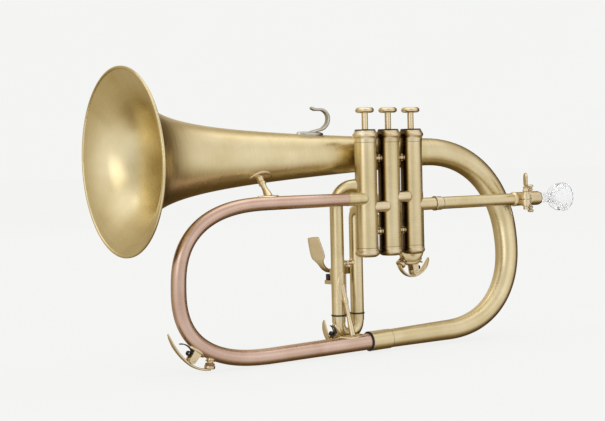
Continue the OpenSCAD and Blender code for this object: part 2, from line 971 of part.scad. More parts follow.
// Lever with a finger pad on its long arm; a pin on its short arm drives the slide's link
module trigger_lever() {
    end = [arm_l * cos(trigger_swing / 2), 0, arm_l * sin(trigger_swing / 2)];
    color(brass)
        third_frame()
            translate([pivot_x, pivot_y, pivot_z])
                difference() {
                    union() {
                        rotate([90, 0, 0])
                            cylinder(r = 3.4, h = 4, center = true);
                        lever_span([0, 0, 0, 2, 3.6], [end[0], 0, end[2], 1.8, 3.6]);
                        for (i = [0:len(lever_bars) - 2])
                            lever_span(lever_bars[i], lever_bars[i + 1]);
                        translate([end[0], -1.8, end[2]])
                            rotate([-90, 0, 0])
                                cylinder(r = link_pin_r, h = 7.4);
                    }
                    rotate([90, 0, 0])
                        cylinder(r = pivot_r + clearance, h = 10, center = true);
                }
}

// Rod from the moving bow up to an eye round the lever's pin
module trigger_link() {
    x = pivot_x + arm_l * (1 + cos(trigger_swing / 2)) / 2;
    z = pivot_z + arm_l * sin(trigger_swing / 2);
    eye_y = pivot_y + 2.8;
    foot_z = third_bow_z + 1;
    color(brass)
        third_frame()
            difference() {
                union() {
                    translate([x, eye_y, z])
                        rotate([-90, 0, 0])
                            cylinder(r = 3.5, h = 1.8);
                    translate([x, eye_y + 0.9, foot_z])
                        cylinder(r = 1.1, h = z - foot_z - 2.6);
                    translate([x - 1.4, 4, foot_z])
                        cube([2.8, eye_y + 1.9 - 4, 2.4]);
                }
                translate([x, eye_y - 1, z])
                    rotate([-90, 0, 0])
                        cylinder(r = link_pin_r + link_play, h = 4);
                translate([third_gauge / 2, 0, third_bow_z - 5])
                    cylinder(r = ferrule_r, h = 20);
            }
}

// ---- Water keys: the pivot is the origin, +Z points to the tube, +X to the cup ----

// Two ears off the tube, with the key's pin through them
module key_saddle(rise) {
    for (side = [-1, 1]) {
        translate([0, side * (key_half + 0.7), 0])
            rotate([90, 0, 0])
                cylinder(r = key_ear_r, h = 1.2, center = true);
        translate([-key_ear_r, side * (key_half + 0.7) - 0.6, 0])
            cube([2 * key_ear_r, 1.2, rise]);
    }
    rotate([90, 0, 0])
        cylinder(r = key_pin_r, h = 2 * key_half + 4.2, center = true);
}

// Frame of a nipple: its mouth is at [x, z], and it leans by an angle towards the cup's side
module nipple_frame(mouth) {
    translate([mouth[0], 0, mouth[1]])
        rotate([0, -mouth[2], 0])
            children();
}

// Short flanged pipe on the tube that the cork closes
module key_nipple(mouth) {
    nipple_frame(mouth)
        rotate_extrude()
            polygon([
                [1.6, 0], [2.6, 0], [2.6, 1.2], [4, 1.5], [4, 2.2], [3.2, 2.6], [3.2, nipple_l],
                [1.6, nipple_l]
            ]);
}

module key_cork(mouth) {
    nipple_frame(mouth)
        translate([0, 0, -cork_gap - cork_t])
            cylinder(r = cork_r, h = cork_t);
}

// Strap bent to two arcs, with a hub on the pin and the cork's cup at its short end
module key_lever(mouth, tip, tip_r) {
    cup_low = cork_gap + cork_t + 1.6;
    cup_x = mouth[0] + cup_low * sin(mouth[2]);
    cup_h = mouth[1] - cup_low * cos(mouth[2]) + key_drop + 0.3;
    bend_r = (cup_x * cup_x + cup_h * cup_h) / (2 * cup_h);
    difference() {
        union() {
            rotate([90, 0, 0])
                cylinder(r = 2.3, h = 2 * key_half - 0.2, center = true);
            translate([-1.8, -key_half + 0.3, -key_drop - strap_t / 2])
                cube([3.6, 2 * key_half - 0.6, key_drop + strap_t / 2]);
            strap(tip_r, asin(tip / tip_r), bend_r, atan2(cup_x, bend_r - cup_h));
            nipple_frame(mouth)
                translate([0, 0, -cup_low])
                    difference() {
                        cylinder(r = cup_r, h = 2.4);
                        translate([0, 0, 1.6])
                            cylinder(r = cork_r, h = 1);
                    }
        }
        rotate([90, 0, 0])
            cylinder(r = key_pin_r + clearance, h = 20, center = true);
    }
}

// Point of the strap under the pivot, an angle round an arc of radius r; out is 0 on its top side
function strap_at(r, a, out) =
    [(r + out) * sin(a), r - key_drop - (r + out) * cos(a)];

// Flat strap that bends up from under the pivot in two arcs, to the tip at -X and the cup at +X
module strap(tip_r, tip_sweep, bend_r, cup_sweep) {
    steps = 12;
    arcs = concat(
        [for (k = [-steps:-1]) [tip_r, tip_sweep * k / steps]],
        [for (k = [0:steps]) [bend_r, cup_sweep * k / steps]]
    );
    under = [for (p = arcs) strap_at(p[0], p[1], strap_t)];
    top = [for (i = [len(arcs) - 1:-1:0]) strap_at(arcs[i][0], arcs[i][1], 0)];
    rotate([90, 0, 0])
        linear_extrude(height = strap_w, center = true)
            polygon(concat(under, top));
}

// Mouth of a nipple on the outside of a slide's bow, an angle round from the key's post
function bow_mouth(outer, angle) =
    let (r = outer + nipple_out)
    [r * sin(angle), outer + slide_key_rise - r * cos(angle), angle];

module crook_key_frame() {
    translate(crook_key_at)
        rotate([0, crook_key_turn, 0])
            children();
}

module first_key_frame() {
    first_frame()
        translate([0, 0, first_bow_z])
            rotate([0, -first_key_post, 0])
                translate([0, 0, -first_outer - slide_key_rise])
                    rotate([0, 0, 180])
                        children();
}

module third_key_frame() {
    third_frame()
        translate([0, 0, third_bow_z])
            rotate([0, third_key_post, 0])
                translate([0, 0, -third_outer - slide_key_rise])
                    children();
}

module crook_key_saddle() {
    color(brass)
        crook_key_frame() {
            key_saddle(9.4);
            key_nipple(crook_mouth);
        }
}

module crook_key_lever() {
    color(brass)
        crook_key_frame()
            key_lever(crook_mouth, 29, 54);
}

module crook_key_cork() {
    color(cork)
        crook_key_frame()
            key_cork(crook_mouth);
}

module first_key_saddle() {
    color(brass)
        first_key_frame() {
            key_saddle(slide_key_rise + 2);
            key_nipple(bow_mouth(first_outer, first_mouth_a));
        }
}

module first_key_lever() {
    color(brass)
        first_key_frame()
            key_lever(bow_mouth(first_outer, first_mouth_a), 19.5, 22);
}

module first_key_cork() {
    color(cork)
        first_key_frame()
            key_cork(bow_mouth(first_outer, first_mouth_a));
}

module third_key_saddle() {
    color(brass)
        third_key_frame() {
            key_saddle(slide_key_rise + 2);
            key_nipple(bow_mouth(third_outer, third_mouth_a));
        }
}

module third_key_lever() {
    color(brass)
        third_key_frame()
            key_lever(bow_mouth(third_outer, third_mouth_a), 19.5, 30);
}

module third_key_cork() {
    color(cork)
        third_key_frame()
            key_cork(bow_mouth(third_outer, third_mouth_a));
}

// ---- Braces and finger hook ----

// Turned rod between two points
module brace_rod(a, b, r) {
    d = b - a;
    l = norm(d);
    translate(a)
        rotate([0, acos(d[2] / l), atan2(d[1], d[0])])
            rotate_extrude()
                polygon([
                    [0, 0], [r * 1.5, 0], [r * 1.35, l * 0.2], [r, l * 0.4], [r, l * 0.6],
                    [r * 1.3, l * 0.65], [r * 1.3, l * 0.7], [r * 1.15, l * 0.75], [r * 1.4, l], [0, l]
                ]);
}

module bell_brace() {
    color(brass)
        brace_rod([-123.2, -1, 1.8], [-123.8, 13, 18.6], 2.4);
}

module slide_brace() {
    leg = leg_at(third_at, third_gauge, -1);
    color(brass)
        difference() {
            brace_rod([-41, lower_y - 0.5, -120], [leg[0] + 0.8, leg[1] - 5.1, -76.5], 1.8);
            translate([leg[0], leg[1], -100])
                cylinder(r = leg_r - 0.25, h = 40);
        }
}

// Two posts between the bell and the valve casings
module bell_valve_braces() {
    color(brass)
        for (i = [1, 3])
            difference() {
                translate([(2 - i) * valve_pitch, 0, bell_z - 1])
                    rotate([0, 0, 90])
                        along_x(6, 22, 2.6);
                at_valve(i)
                    cylinder(r = casing_r, h = 120, center = true);
                bell_frame()
                    along_x(-200, 10, 12.5 + 3);
            }
}

// Points on the hook's middle line, [x, height above the origin]
hook_line = [
    [-63, 54.8], [-59, 56], [-54.6, 56.9], [-50.8, 57.8], [-47.8, 59.8], [-45.2, 62.8],
    [-44.2, 66.4], [-44.8, 70], [-47.2, 73], [-50.4, 74.6], [-54.4, 74.8], [-58, 74.9], [-60.8, 76.2]
];

module finger_hook() {
    color(nickel)
        translate([0, bell_y, 0]) {
            swept_rod([for (p = hook_line) [p[0], 0, p[1]]], 1.5, [0, 1, 0], 12);
            hull() {
                translate([-75.2, 0, 54.6])
                    sphere(r = 0.7, $fn = 20);
                translate([-62, 0, 53])
                    cylinder(r = 5, h = 2.6, $fn = 32);
                translate([-50, 0, 52.6])
                    cylinder(r = 3, h = 2.8, $fn = 32);
            }
        }
}

bell();
bell_rim_wire();
rear_bow();
bow_ferrule();
crook();
crook_ring();
crook_sleeve();
valve_casing(1);  // valve_casing_1
valve_casing(2);  // valve_casing_2
valve_casing(3);  // valve_casing_3
top_caps();
bottom_caps();
cap_felts();
valve_knuckles();
valve_braces();
piston(1);  // piston_1
piston(2);  // piston_2
piston(3);  // piston_3
valve_stem(1);  // valve_stem_1
valve_stem(2);  // valve_stem_2
valve_stem(3);  // valve_stem_3
finger_button(1);  // finger_button_1
finger_button(2);  // finger_button_2
finger_button(3);  // finger_button_3
valve_spring(1);  // valve_spring_1
valve_spring(2);  // valve_spring_2
valve_spring(3);  // valve_spring_3
leadpipe();
leadpipe_ferrule();
clamp_collar();
clamp_screw();
mouthpipe();
mouthpiece();
first_slide_tubes();
first_slide_legs();
first_slide_bow();
first_key_saddle();
second_slide_tubes();
second_slide();
third_slide_tubes();
third_slide_legs();
third_slide_bow();
third_slide_rings();
third_key_saddle();
third_slide_brace();
trigger_post();
trigger_lever();
trigger_bumper();
trigger_link();
crook_key_saddle();
crook_key_lever();
crook_key_cork();
first_key_lever();
first_key_cork();
third_key_lever();
third_key_cork();
bell_brace();
slide_brace();
bell_valve_braces();
finger_hook();
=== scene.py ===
import json
import math

import bmesh
import bpy
from mathutils import Matrix, Vector

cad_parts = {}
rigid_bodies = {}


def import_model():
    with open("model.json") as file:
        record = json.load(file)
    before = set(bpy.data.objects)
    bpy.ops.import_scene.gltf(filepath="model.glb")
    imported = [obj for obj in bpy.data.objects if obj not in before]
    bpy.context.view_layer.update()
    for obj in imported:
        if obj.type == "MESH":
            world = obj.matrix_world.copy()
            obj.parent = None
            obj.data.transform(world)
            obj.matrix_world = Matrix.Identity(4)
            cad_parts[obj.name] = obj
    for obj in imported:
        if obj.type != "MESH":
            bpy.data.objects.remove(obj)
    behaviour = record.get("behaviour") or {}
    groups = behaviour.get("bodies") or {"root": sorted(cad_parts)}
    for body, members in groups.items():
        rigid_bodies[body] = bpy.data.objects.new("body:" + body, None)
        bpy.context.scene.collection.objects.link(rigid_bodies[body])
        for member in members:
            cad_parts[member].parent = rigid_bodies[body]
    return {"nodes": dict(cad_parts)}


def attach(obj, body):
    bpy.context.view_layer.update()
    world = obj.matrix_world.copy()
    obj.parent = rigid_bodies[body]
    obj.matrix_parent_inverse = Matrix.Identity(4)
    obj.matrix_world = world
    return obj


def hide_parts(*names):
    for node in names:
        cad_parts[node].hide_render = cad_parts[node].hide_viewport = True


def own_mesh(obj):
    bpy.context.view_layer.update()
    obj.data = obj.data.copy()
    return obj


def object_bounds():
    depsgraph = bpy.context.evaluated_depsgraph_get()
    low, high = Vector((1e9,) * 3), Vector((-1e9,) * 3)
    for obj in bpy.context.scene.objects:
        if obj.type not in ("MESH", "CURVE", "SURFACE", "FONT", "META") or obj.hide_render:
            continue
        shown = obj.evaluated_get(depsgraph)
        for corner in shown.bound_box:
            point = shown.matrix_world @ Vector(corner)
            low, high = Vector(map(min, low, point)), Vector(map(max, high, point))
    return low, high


for thing in list(bpy.data.objects):
    bpy.data.objects.remove(thing)

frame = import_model()
cad_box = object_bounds()

# ---- Sizes of the horn in millimetres, as in the CAD model ----

MM = 0.001
X_AXIS = Matrix.Rotation(math.radians(90), 4, "Y")

VALVE_PITCH = 24.6
BELL_D, BELL_L, BELL_REAR_D = 152, 301.5, 24.9
BELL_Z, BELL_Y, BELL_TILT = 35.9, 28, 0.4
SHEET = 0.6
LOWER_Z, LOWER_SLOPE, LOWER_Y = -126.8, 1.3, 2
CROOK_D1, CROOK_D2, BOW_D1 = 10.6, 14.4, 15.8
CHORD_Y, PIPE_Z, CROOK_Z = -3.95, -9.9, -2.8
FLARE_START, FLARE_POWER, BELL_SLOPE = 16, 0.883, 0.0293
BOW_X, BOW_REACH, BOW_POWER, BOW_START = 59.8, 85.5, 2.22, -10
CROOK_X, CROOK_REACH, CROOK_POWER = -125, 83.6, 2.54
CROOK_TOP_X, CROOK_END_X = -40, -10
FIRST_AT, THIRD_AT = (36.3, 18.1), (-35.3, 16.2)
FIRST_GAUGE, THIRD_GAUGE, SLIDE_TURN = 17.9, 22, 8
LEG_R, SLIDE_BOW_R = 5.8, 5.4
FIRST_BOW_Z, THIRD_BOW_Z = -50.2, -109.6
MOUTHPIECE_R, MOUTHPIECE_X, BARREL_END = 13.15, 203.5, 171
SCREW_X, SCREW_Y, SCREW_TURN = 146.6, -12.8, 57
JOINT_Z, CAP_R, FERRULE_X = 45.4, 9.78, 46
PIVOT = (0.4, 13.4, -66)
TRIGGER_SWING, ARM_L = 40, 13
KEY_HALF, KEY_DROP, STRAP_T = 2.4, 3, 1.5
CORK_GAP, CORK_T, CUP_WALL = 0.1, 2.8, 1.6
KEY_RISE, NIPPLE_OUT = 7.2, 1.6


def move(x, y, z):
    return Matrix.Translation((x, y, z))


def turn(degrees, axis):
    return Matrix.Rotation(math.radians(degrees), 4, axis)


def lerp(a, b, t):
    return a + (b - a) * t


def lower_at(x):
    return Vector((x, LOWER_Y, LOWER_Z + (x + 20) * math.tan(math.radians(LOWER_SLOPE))))


BELL_FRAME = move(BOW_X, BELL_Y, BELL_Z) @ turn(-BELL_TILT, "Y")
FIRST_FRAME = move(*FIRST_AT, 0) @ turn(SLIDE_TURN, "Z")
THIRD_FRAME = move(*THIRD_AT, 0) @ turn(SLIDE_TURN, "Z")


# ---- Materials ----

def nodes_of(name):
    material = bpy.data.materials.new(name)
    material.use_nodes = True
    tree = material.node_tree
    shader = tree.nodes["Principled BSDF"]
    return material, tree, shader


def noise(tree, vector, scale, detail=3.0, rough=0.5, distortion=0.0):
    node = tree.nodes.new("ShaderNodeTexNoise")
    node.inputs["Scale"].default_value = scale
    node.inputs["Detail"].default_value = detail
    node.inputs["Roughness"].default_value = rough
    node.inputs["Distortion"].default_value = distortion
    tree.links.new(vector, node.inputs["Vector"])
    return node.outputs["Fac"]


def ramp(tree, value, stops):
    node = tree.nodes.new("ShaderNodeValToRGB")
    band = node.color_ramp
    while len(band.elements) < len(stops):
        band.elements.new(0.5)
    for element, (position, colour) in zip(band.elements, stops):
        element.position = position
        element.color = (*colour, 1)
    tree.links.new(value, node.inputs["Fac"])
    return node.outputs["Color"]


def spread(tree, value, low, high):
    node = tree.nodes.new("ShaderNodeMapRange")
    node.inputs["From Min"].default_value = 0.3
    node.inputs["From Max"].default_value = 0.7
    node.inputs["To Min"].default_value = low
    node.inputs["To Max"].default_value = high
    tree.links.new(value, node.inputs["Value"])
    return node.outputs["Result"]


def stretched(tree, source, scale):
    node = tree.nodes.new("ShaderNodeMapping")
    node.inputs["Scale"].default_value = scale
    tree.links.new(source, node.inputs["Vector"])
    return node.outputs["Vector"]


def object_vector(tree):
    return tree.nodes.new("ShaderNodeTexCoord").outputs["Object"]


def brush_vector(tree):
    node = tree.nodes.new("ShaderNodeAttribute")
    node.attribute_name = "brush"
    return node.outputs["Vector"]


# Scale of the polishing lines in each direction, and how much they show in the colour
GRAIN = {
    "X": (1400, 60, 60),
    "Y": (60, 1400, 60),
    "Z": (60, 60, 1400),
    "all": (130, 130, 130),
    "brush": (1, 1, 1.4),
}
STREAK_SHARE = {"X": 0.5, "Y": 0.5, "Z": 0.5, "all": 0.2, "brush": 0.38}
BUMP_DEPTH = 0.00012
WHITE = (1, 1, 1)


def times(tree, a, b, share=1.0):
    """Colour a multiplied by colour b."""
    mix = tree.nodes.new("ShaderNodeMix")
    mix.data_type = "RGBA"
    mix.blend_type = "MULTIPLY"
    mix.inputs["Factor"].default_value = share
    tree.links.new(a, mix.inputs["A"])
    tree.links.new(b, mix.inputs["B"])
    return mix.outputs["Result"]


def math_node(tree, operation, value, second=0.0):
    node = tree.nodes.new("ShaderNodeMath")
    node.operation = operation
    tree.links.new(value, node.inputs[0])
    node.inputs[1].default_value = second
    return node.outputs[0]


def painted_gap_shade(tree, place):
    """Painted shade where a casing faces its neighbour, standing in for their dark reflections of each
    other, by the distance in cm from midway between them.
    """
    split = tree.nodes.new("ShaderNodeSeparateXYZ")
    tree.links.new(place, split.inputs[0])
    from_middle = math_node(tree, "ABSOLUTE", split.outputs["X"])
    gap = math_node(tree, "ABSOLUTE", math_node(tree, "SUBTRACT", from_middle, VALVE_PITCH / 2 * MM))
    return ramp(tree, math_node(tree, "MULTIPLY", gap, 100), [
        (0.32, (0.13, 0.09, 0.03)), (0.42, (0.34, 0.27, 0.14)), (0.52, (0.78, 0.73, 0.62)), (0.62, WHITE)])


def satin(name, tones, grain="all", rough=(0.26, 0.36), coat=0.15, bump=0.018, anisotropic=0.0,
          paint_gap_shade=False):
    """Satin brushed metal: tones are its dark, middle and light colours."""
    material, tree, shader = nodes_of(name)
    place = object_vector(tree)
    lines_at = brush_vector(tree) if grain == "brush" else place
    lines = noise(tree, stretched(tree, lines_at, GRAIN[grain]), 1.0, 4, 0.65)
    cloud = noise(tree, place, 28, 4, 0.55, 0.4)
    fine = noise(tree, place, 900, 2, 0.6)
    dark, middle, light = tones
    base = ramp(tree, cloud, [(0.28, dark), (0.5, middle), (0.74, light)])
    streaks = ramp(tree, lines, [(0.25, (0.86, 0.84, 0.8)), (0.55, WHITE), (0.8, (1.0, 0.99, 0.96))])
    colour = times(tree, base, streaks, STREAK_SHARE[grain])
    # Painted shade on the sides of casings and caps that face a neighbouring casing
    if paint_gap_shade:
        colour = times(tree, colour, painted_gap_shade(tree, place))
    tree.links.new(colour, shader.inputs["Base Color"])
    tree.links.new(spread(tree, lines, *rough), shader.inputs["Roughness"])
    height = tree.nodes.new("ShaderNodeMath")
    height.operation = "MULTIPLY_ADD"
    height.inputs[1].default_value = 0.35
    tree.links.new(fine, height.inputs[0])
    tree.links.new(lines, height.inputs[2])
    relief = tree.nodes.new("ShaderNodeBump")
    relief.inputs["Strength"].default_value = bump
    relief.inputs["Distance"].default_value = BUMP_DEPTH
    tree.links.new(height.outputs[0], relief.inputs["Height"])
    tree.links.new(relief.outputs["Normal"], shader.inputs["Normal"])
    shader.inputs["Metallic"].default_value = 1.0
    shader.inputs["Coat Weight"].default_value = coat
    shader.inputs["Coat Roughness"].default_value = 0.25
    if anisotropic:
        shader.inputs["Anisotropic"].default_value = anisotropic
        tangent = tree.nodes.new("ShaderNodeTangent")
        tangent.direction_type = "UV_MAP"
        tangent.uv_map = "around"
        tree.links.new(tangent.outputs["Tangent"], shader.inputs["Tangent"])
    return material


BRASS = ((0.60, 0.49, 0.25), (0.675, 0.562, 0.32), (0.755, 0.645, 0.395))
BELL_BRASS = ((0.64, 0.53, 0.27), (0.72, 0.61, 0.35), (0.79, 0.69, 0.42))
BRIGHT = ((0.60, 0.48, 0.27), (0.68, 0.56, 0.345), (0.76, 0.65, 0.43))
ROSE = ((0.53, 0.36, 0.26), (0.60, 0.42, 0.32), (0.67, 0.49, 0.385))
NICKEL = ((0.36, 0.34, 0.29), (0.50, 0.48, 0.42), (0.62, 0.60, 0.54))
STEEL = ((0.42, 0.42, 0.42), (0.56, 0.56, 0.56), (0.68, 0.68, 0.68))
SPRING = ((0.10, 0.10, 0.10), (0.16, 0.16, 0.15), (0.24, 0.23, 0.22))
DARK_WIRE = ((0.02, 0.02, 0.02), (0.05, 0.05, 0.045), (0.11, 0.105, 0.10))
SHADOW = ((0.10, 0.07, 0.03), (0.16, 0.12, 0.05), (0.24, 0.18, 0.09))
FELT = ((0.006, 0.006, 0.006), (0.014, 0.013, 0.012), (0.035, 0.033, 0.03))
RUBBER = ((0.008, 0.008, 0.008), (0.014, 0.014, 0.014), (0.024, 0.024, 0.023))
CORK = ((0.13, 0.055, 0.022), (0.27, 0.13, 0.06), (0.40, 0.22, 0.11))

brass_x = satin("brass_tube_x", BRASS, "X")
brass_y = satin("brass_tube_y", BRASS, "Y")
brass_z = satin("brass_tube_z", BRASS, "Z")
brass_swept = satin("brass_tube_bent", BRASS, "brush")
brass_bell = satin("brass_bell", BELL_BRASS, "brush", (0.26, 0.34), 0.12, 0.014, 0.35)
brass_rim = satin("brass_rim", BELL_BRASS, "all", (0.25, 0.34))
brass_bright = satin("brass_fittings", BRIGHT, "all", (0.24, 0.30), 0.2, 0.006)
# Casings and caps carry painted shade on the sides that face each other
brass_casing = satin("brass_casings", BRASS, "Z", paint_gap_shade=True)
brass_cap = satin("brass_caps", BRIGHT, "Z", paint_gap_shade=True)
rose = satin("rose_brass", ROSE, "brush", (0.25, 0.34), 0.15)
nickel = satin("nickel_silver", NICKEL, "all", (0.16, 0.28), 0.0)
piston_metal = satin("piston_metal", STEEL, "Z", (0.14, 0.24), 0.0)
spring_dark = satin("spring_wire_dark", DARK_WIRE, "all", (0.25, 0.4), 0.0)
seam_brass = satin("brass_in_shadow", SHADOW, "all", (0.5, 0.6), 0.0)
spring_steel = satin("spring_steel", SPRING, "all", (0.25, 0.4), 0.0)


def plain(name, tones, scale, rough, bump, depth, sheen=0.0):
    """Felt, rubber or cork: mottled colour and a grain that stands out by depth metres."""
    material, tree, shader = nodes_of(name)
    place = object_vector(tree)
    speck = noise(tree, place, scale, 6, 0.7, 0.3)
    dark, middle, light = tones
    colour = ramp(tree, speck, [(0.3, dark), (0.5, middle), (0.7, light)])
    tree.links.new(colour, shader.inputs["Base Color"])
    tree.links.new(spread(tree, speck, *rough), shader.inputs["Roughness"])
    relief = tree.nodes.new("ShaderNodeBump")
    relief.inputs["Strength"].default_value = bump
    relief.inputs["Distance"].default_value = depth
    tree.links.new(speck, relief.inputs["Height"])
    tree.links.new(relief.outputs["Normal"], shader.inputs["Normal"])
    shader.inputs["Sheen Weight"].default_value = sheen
    return material


felt = plain("black_felt", FELT, 2600, (0.85, 1.0), 0.6, 0.0002, 0.3)
rubber = plain("black_rubber", RUBBER, 900, (0.45, 0.6), 0.15, 0.0001)
cork = plain("cork", CORK, 1100, (0.8, 0.95), 0.5, 0.0003)


def clear_acrylic():
    material, tree, shader = nodes_of("clear_acrylic")
    place = object_vector(tree)
    haze = noise(tree, place, 220, 3, 0.5)
    colour = ramp(tree, haze, [(0.3, (0.96, 0.97, 0.975)), (0.7, (0.99, 0.995, 1.0))])
    tree.links.new(colour, shader.inputs["Base Color"])
    tree.links.new(spread(tree, haze, 0.03, 0.09), shader.inputs["Roughness"])
    shader.inputs["Transmission Weight"].default_value = 0.86
    shader.inputs["IOR"].default_value = 1.32
    return material


acrylic = clear_acrylic()


# ---- Mesh builders: all points are in millimetres in the row frame ----

def piece(name, points, faces, brush, around, body, material, stands_for=(), sharp=40):
    """A mesh with its polishing direction (brush) and its map round the tube (around)."""
    mesh = bpy.data.meshes.new(name)
    mesh.from_pydata([tuple(c * MM for c in p) for p in points], [], faces)
    mesh.update()
    mesh.shade_smooth()
    mesh.set_sharp_from_angle(angle=math.radians(sharp))
    attribute = mesh.attributes.new("brush", "FLOAT_VECTOR", "POINT")
    attribute.data.foreach_set("vector", [c for v in brush for c in v])
    layer = mesh.uv_layers.new(name="around")
    for face in mesh.polygons:
        us = [around[mesh.loops[i].vertex_index][0] for i in face.loop_indices]
        wrap = max(us) - min(us) > 0.5
        for i in face.loop_indices:
            u, v = around[mesh.loops[i].vertex_index]
            layer.data[i].uv = (u + 1 if wrap and u < 0.5 else u, v)
    mesh.materials.append(material)
    thing = bpy.data.objects.new(name, mesh)
    bpy.context.scene.collection.objects.link(thing)
    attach(thing, body)
    if stands_for:
        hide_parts(*stands_for)
    return thing


def rounded(outline, radius):
    """The outline with each corner turned into a short arc."""
    result = []
    count = len(outline)
    for i in range(count):
        a, b, c = (Vector(outline[(i + k) % count]) for k in (-1, 0, 1))
        to_a, to_c = a - b, c - b
        if b[1] < 1e-6 or to_a.length < 1e-6 or to_c.length < 1e-6:
            result.append(tuple(b))
            continue
        cut = min(radius, 0.42 * to_a.length, 0.42 * to_c.length)
        p, q = b + to_a.normalized() * cut, b + to_c.normalized() * cut
        for t in (0, 0.25, 0.5, 0.75, 1):
            result.append(tuple((1 - t) ** 2 * p + 2 * t * (1 - t) * b + t * t * q))
    return result


def smoothed(outline, steps=4):
    """A curve through all the points of an open outline."""
    result = []
    for i in range(len(outline) - 1):
        p0, p1 = Vector(outline[max(i - 1, 0)]), Vector(outline[i])
        p2, p3 = Vector(outline[i + 1]), Vector(outline[min(i + 2, len(outline) - 1)])
        for k in range(steps):
            t = k / steps
            result.append(tuple(0.5 * (
                2 * p1 + (p2 - p0) * t + (2 * p0 - 5 * p1 + 4 * p2 - p3) * t * t
                + (3 * p1 - p0 - 3 * p2 + p3) * t ** 3)))
    result.append(tuple(outline[-1]))
    return result


def turned(outline, matrix, segments=96):
    """Solid of revolution about the matrix's Z axis from a closed outline of (height, radius)."""
    points, faces, brush, around, rings = [], [], [], [], []
    way = 0
    for i, (height, radius) in enumerate(outline):
        if i:
            way += math.dist(outline[i - 1], (height, radius))
        count = 1 if radius < 1e-6 else segments
        rings.append(range(len(points), len(points) + count))
        for k in range(count):
            a = 2 * math.pi * k / segments
            points.append(matrix @ Vector((radius * math.cos(a), radius * math.sin(a), height)))
            brush.append((0.6 * math.cos(a), 0.6 * math.sin(a), way))
            around.append((k / segments, way / 100))
    for i in range(len(rings)):
        one, two = rings[i], rings[(i + 1) % len(rings)]
        for k in range(segments):
            j = (k + 1) % segments
            quad = [one[k % len(one)], one[j % len(one)], two[j % len(two)], two[k % len(two)]]
            face = [v for n, v in enumerate(quad) if v not in quad[:n]]
            if len(face) > 2:
                faces.append(face)
    return points, faces, brush, around


def joined(parts):
    """Several (points, faces, brush, around) sets as one."""
    points, faces, brush, around = [], [], [], []
    for p, f, b, a in parts:
        first = len(points)
        points += p
        faces += [[v + first for v in face] for face in f]
        brush += b
        around += a
    return points, faces, brush, around


def outward(points, faces):
    """The faces, all turned to look outward."""
    work = bmesh.new()
    verts = [work.verts.new(p) for p in points]
    for face in faces:
        try:
            work.faces.new([verts[i] for i in face])
        except ValueError:
            pass
    bmesh.ops.recalc_face_normals(work, faces=work.faces)
    work.verts.index_update()
    result = [[v.index for v in face.verts] for face in work.faces]
    work.free()
    return result


def build(name, parts, body, material, stands_for=(), sharp=40):
    """One piece from several (points, faces, brush, around) sets."""
    points, faces, brush, around = joined(parts)
    faces = outward(points, faces)
    return piece(name, points, faces, brush, around, body, material, stands_for, sharp)


def tangent(path, i):
    return (path[min(i + 1, len(path) - 1)] - path[max(i - 1, 0)]).normalized()


def distances(path):
    way = [0.0]
    for a, b in zip(path, path[1:]):
        way.append(way[-1] + (b - a).length)
    return way


def taper(path, d1, d2):
    way = distances(path)
    return [lerp(d1, d2, w / way[-1]) / 2 for w in way]


def swept(path, radii, wall=0.0, side=(0, 1, 0), sides=64, matrix=None):
    """Tube along a path, open where wall is given, and a rod with closed ends where it isn't."""
    matrix = matrix or Matrix.Identity(4)
    side = Vector(side)
    way = distances(path)
    points, faces, brush, around = [], [], [], []
    skins = [radii, [r - wall for r in radii]] if wall else [radii]
    for skin in skins:
        for i, centre in enumerate(path):
            t = tangent(path, i)
            u = t.cross(side).normalized()
            v = u.cross(t)
            for k in range(sides):
                a = 2 * math.pi * k / sides
                points.append(matrix @ (centre + skin[i] * (math.cos(a) * u + math.sin(a) * v)))
                brush.append((0.6 * math.cos(a), 0.6 * math.sin(a), way[i]))
                around.append((k / sides, way[i] / 100))
    count = len(path)
    for s in range(len(skins)):
        first = s * count * sides
        for i in range(count - 1):
            for k in range(sides):
                j = (k + 1) % sides
                a, b = first + i * sides, first + (i + 1) * sides
                faces.append([a + k, a + j, b + j, b + k])
    if wall:
        for end in (0, (count - 1) * sides):
            for k in range(sides):
                j = (k + 1) % sides
                inner = count * sides + end
                faces.append([end + k, end + j, inner + j, inner + k])
    else:
        for end, out in ((0, -1), ((count - 1) * sides, 1)):
            i = 0 if out < 0 else count - 1
            points.append(matrix @ (path[i] + out * 0.35 * radii[i] * tangent(path, i)))
            brush.append((0, 0, way[i]))
            around.append((0, way[i] / 100))
            for k in range(sides):
                faces.append([end + k, end + (k + 1) % sides, len(points) - 1])
    return points, faces, brush, around


def bar(line, widths, thicks, matrix, power=3.2, sides=28, across=(0, 1, 0)):
    """Flat or oval bar along a line: widths are measured along the across direction."""
    across = Vector(across)
    line = [Vector(p) for p in line]
    points, faces, brush, around = [], [], [], []
    way = distances(line)
    rings = [(-1, 0.55, 0.28), (-1, 0.88, 0.12)]
    rings += [(i, 1, 0) for i in range(len(line))]
    rings += [(-2, 0.88, 0.12), (-2, 0.55, 0.28)]
    for which, share, out in rings:
        i = {-1: 0, -2: len(line) - 1}.get(which, which)
        t = tangent(line, i)
        n = t.cross(across).normalized()
        w = across - t * across.dot(t)
        w.normalize()
        sign = -1 if which == -1 else 1
        centre = line[i] + t * sign * out * thicks[i]
        for k in range(sides):
            a = 2 * math.pi * k / sides
            c, s = math.cos(a), math.sin(a)
            p = centre + share * (
                w * widths[i] / 2 * math.copysign(abs(c) ** (2 / power), c)
                + n * thicks[i] / 2 * math.copysign(abs(s) ** (2 / power), s))
            points.append(matrix @ p)
            brush.append((0.6 * c, 0.6 * s, way[i]))
            around.append((k / sides, way[i] / 100))
    for i in range(len(rings) - 1):
        for k in range(sides):
            j = (k + 1) % sides
            one, two = i * sides, (i + 1) * sides
            faces.append([one + k, one + j, two + j, two + k])
    faces.append(list(range(sides)))
    faces.append(list(range((len(rings) - 1) * sides, len(rings) * sides)))
    return points, faces, brush, around


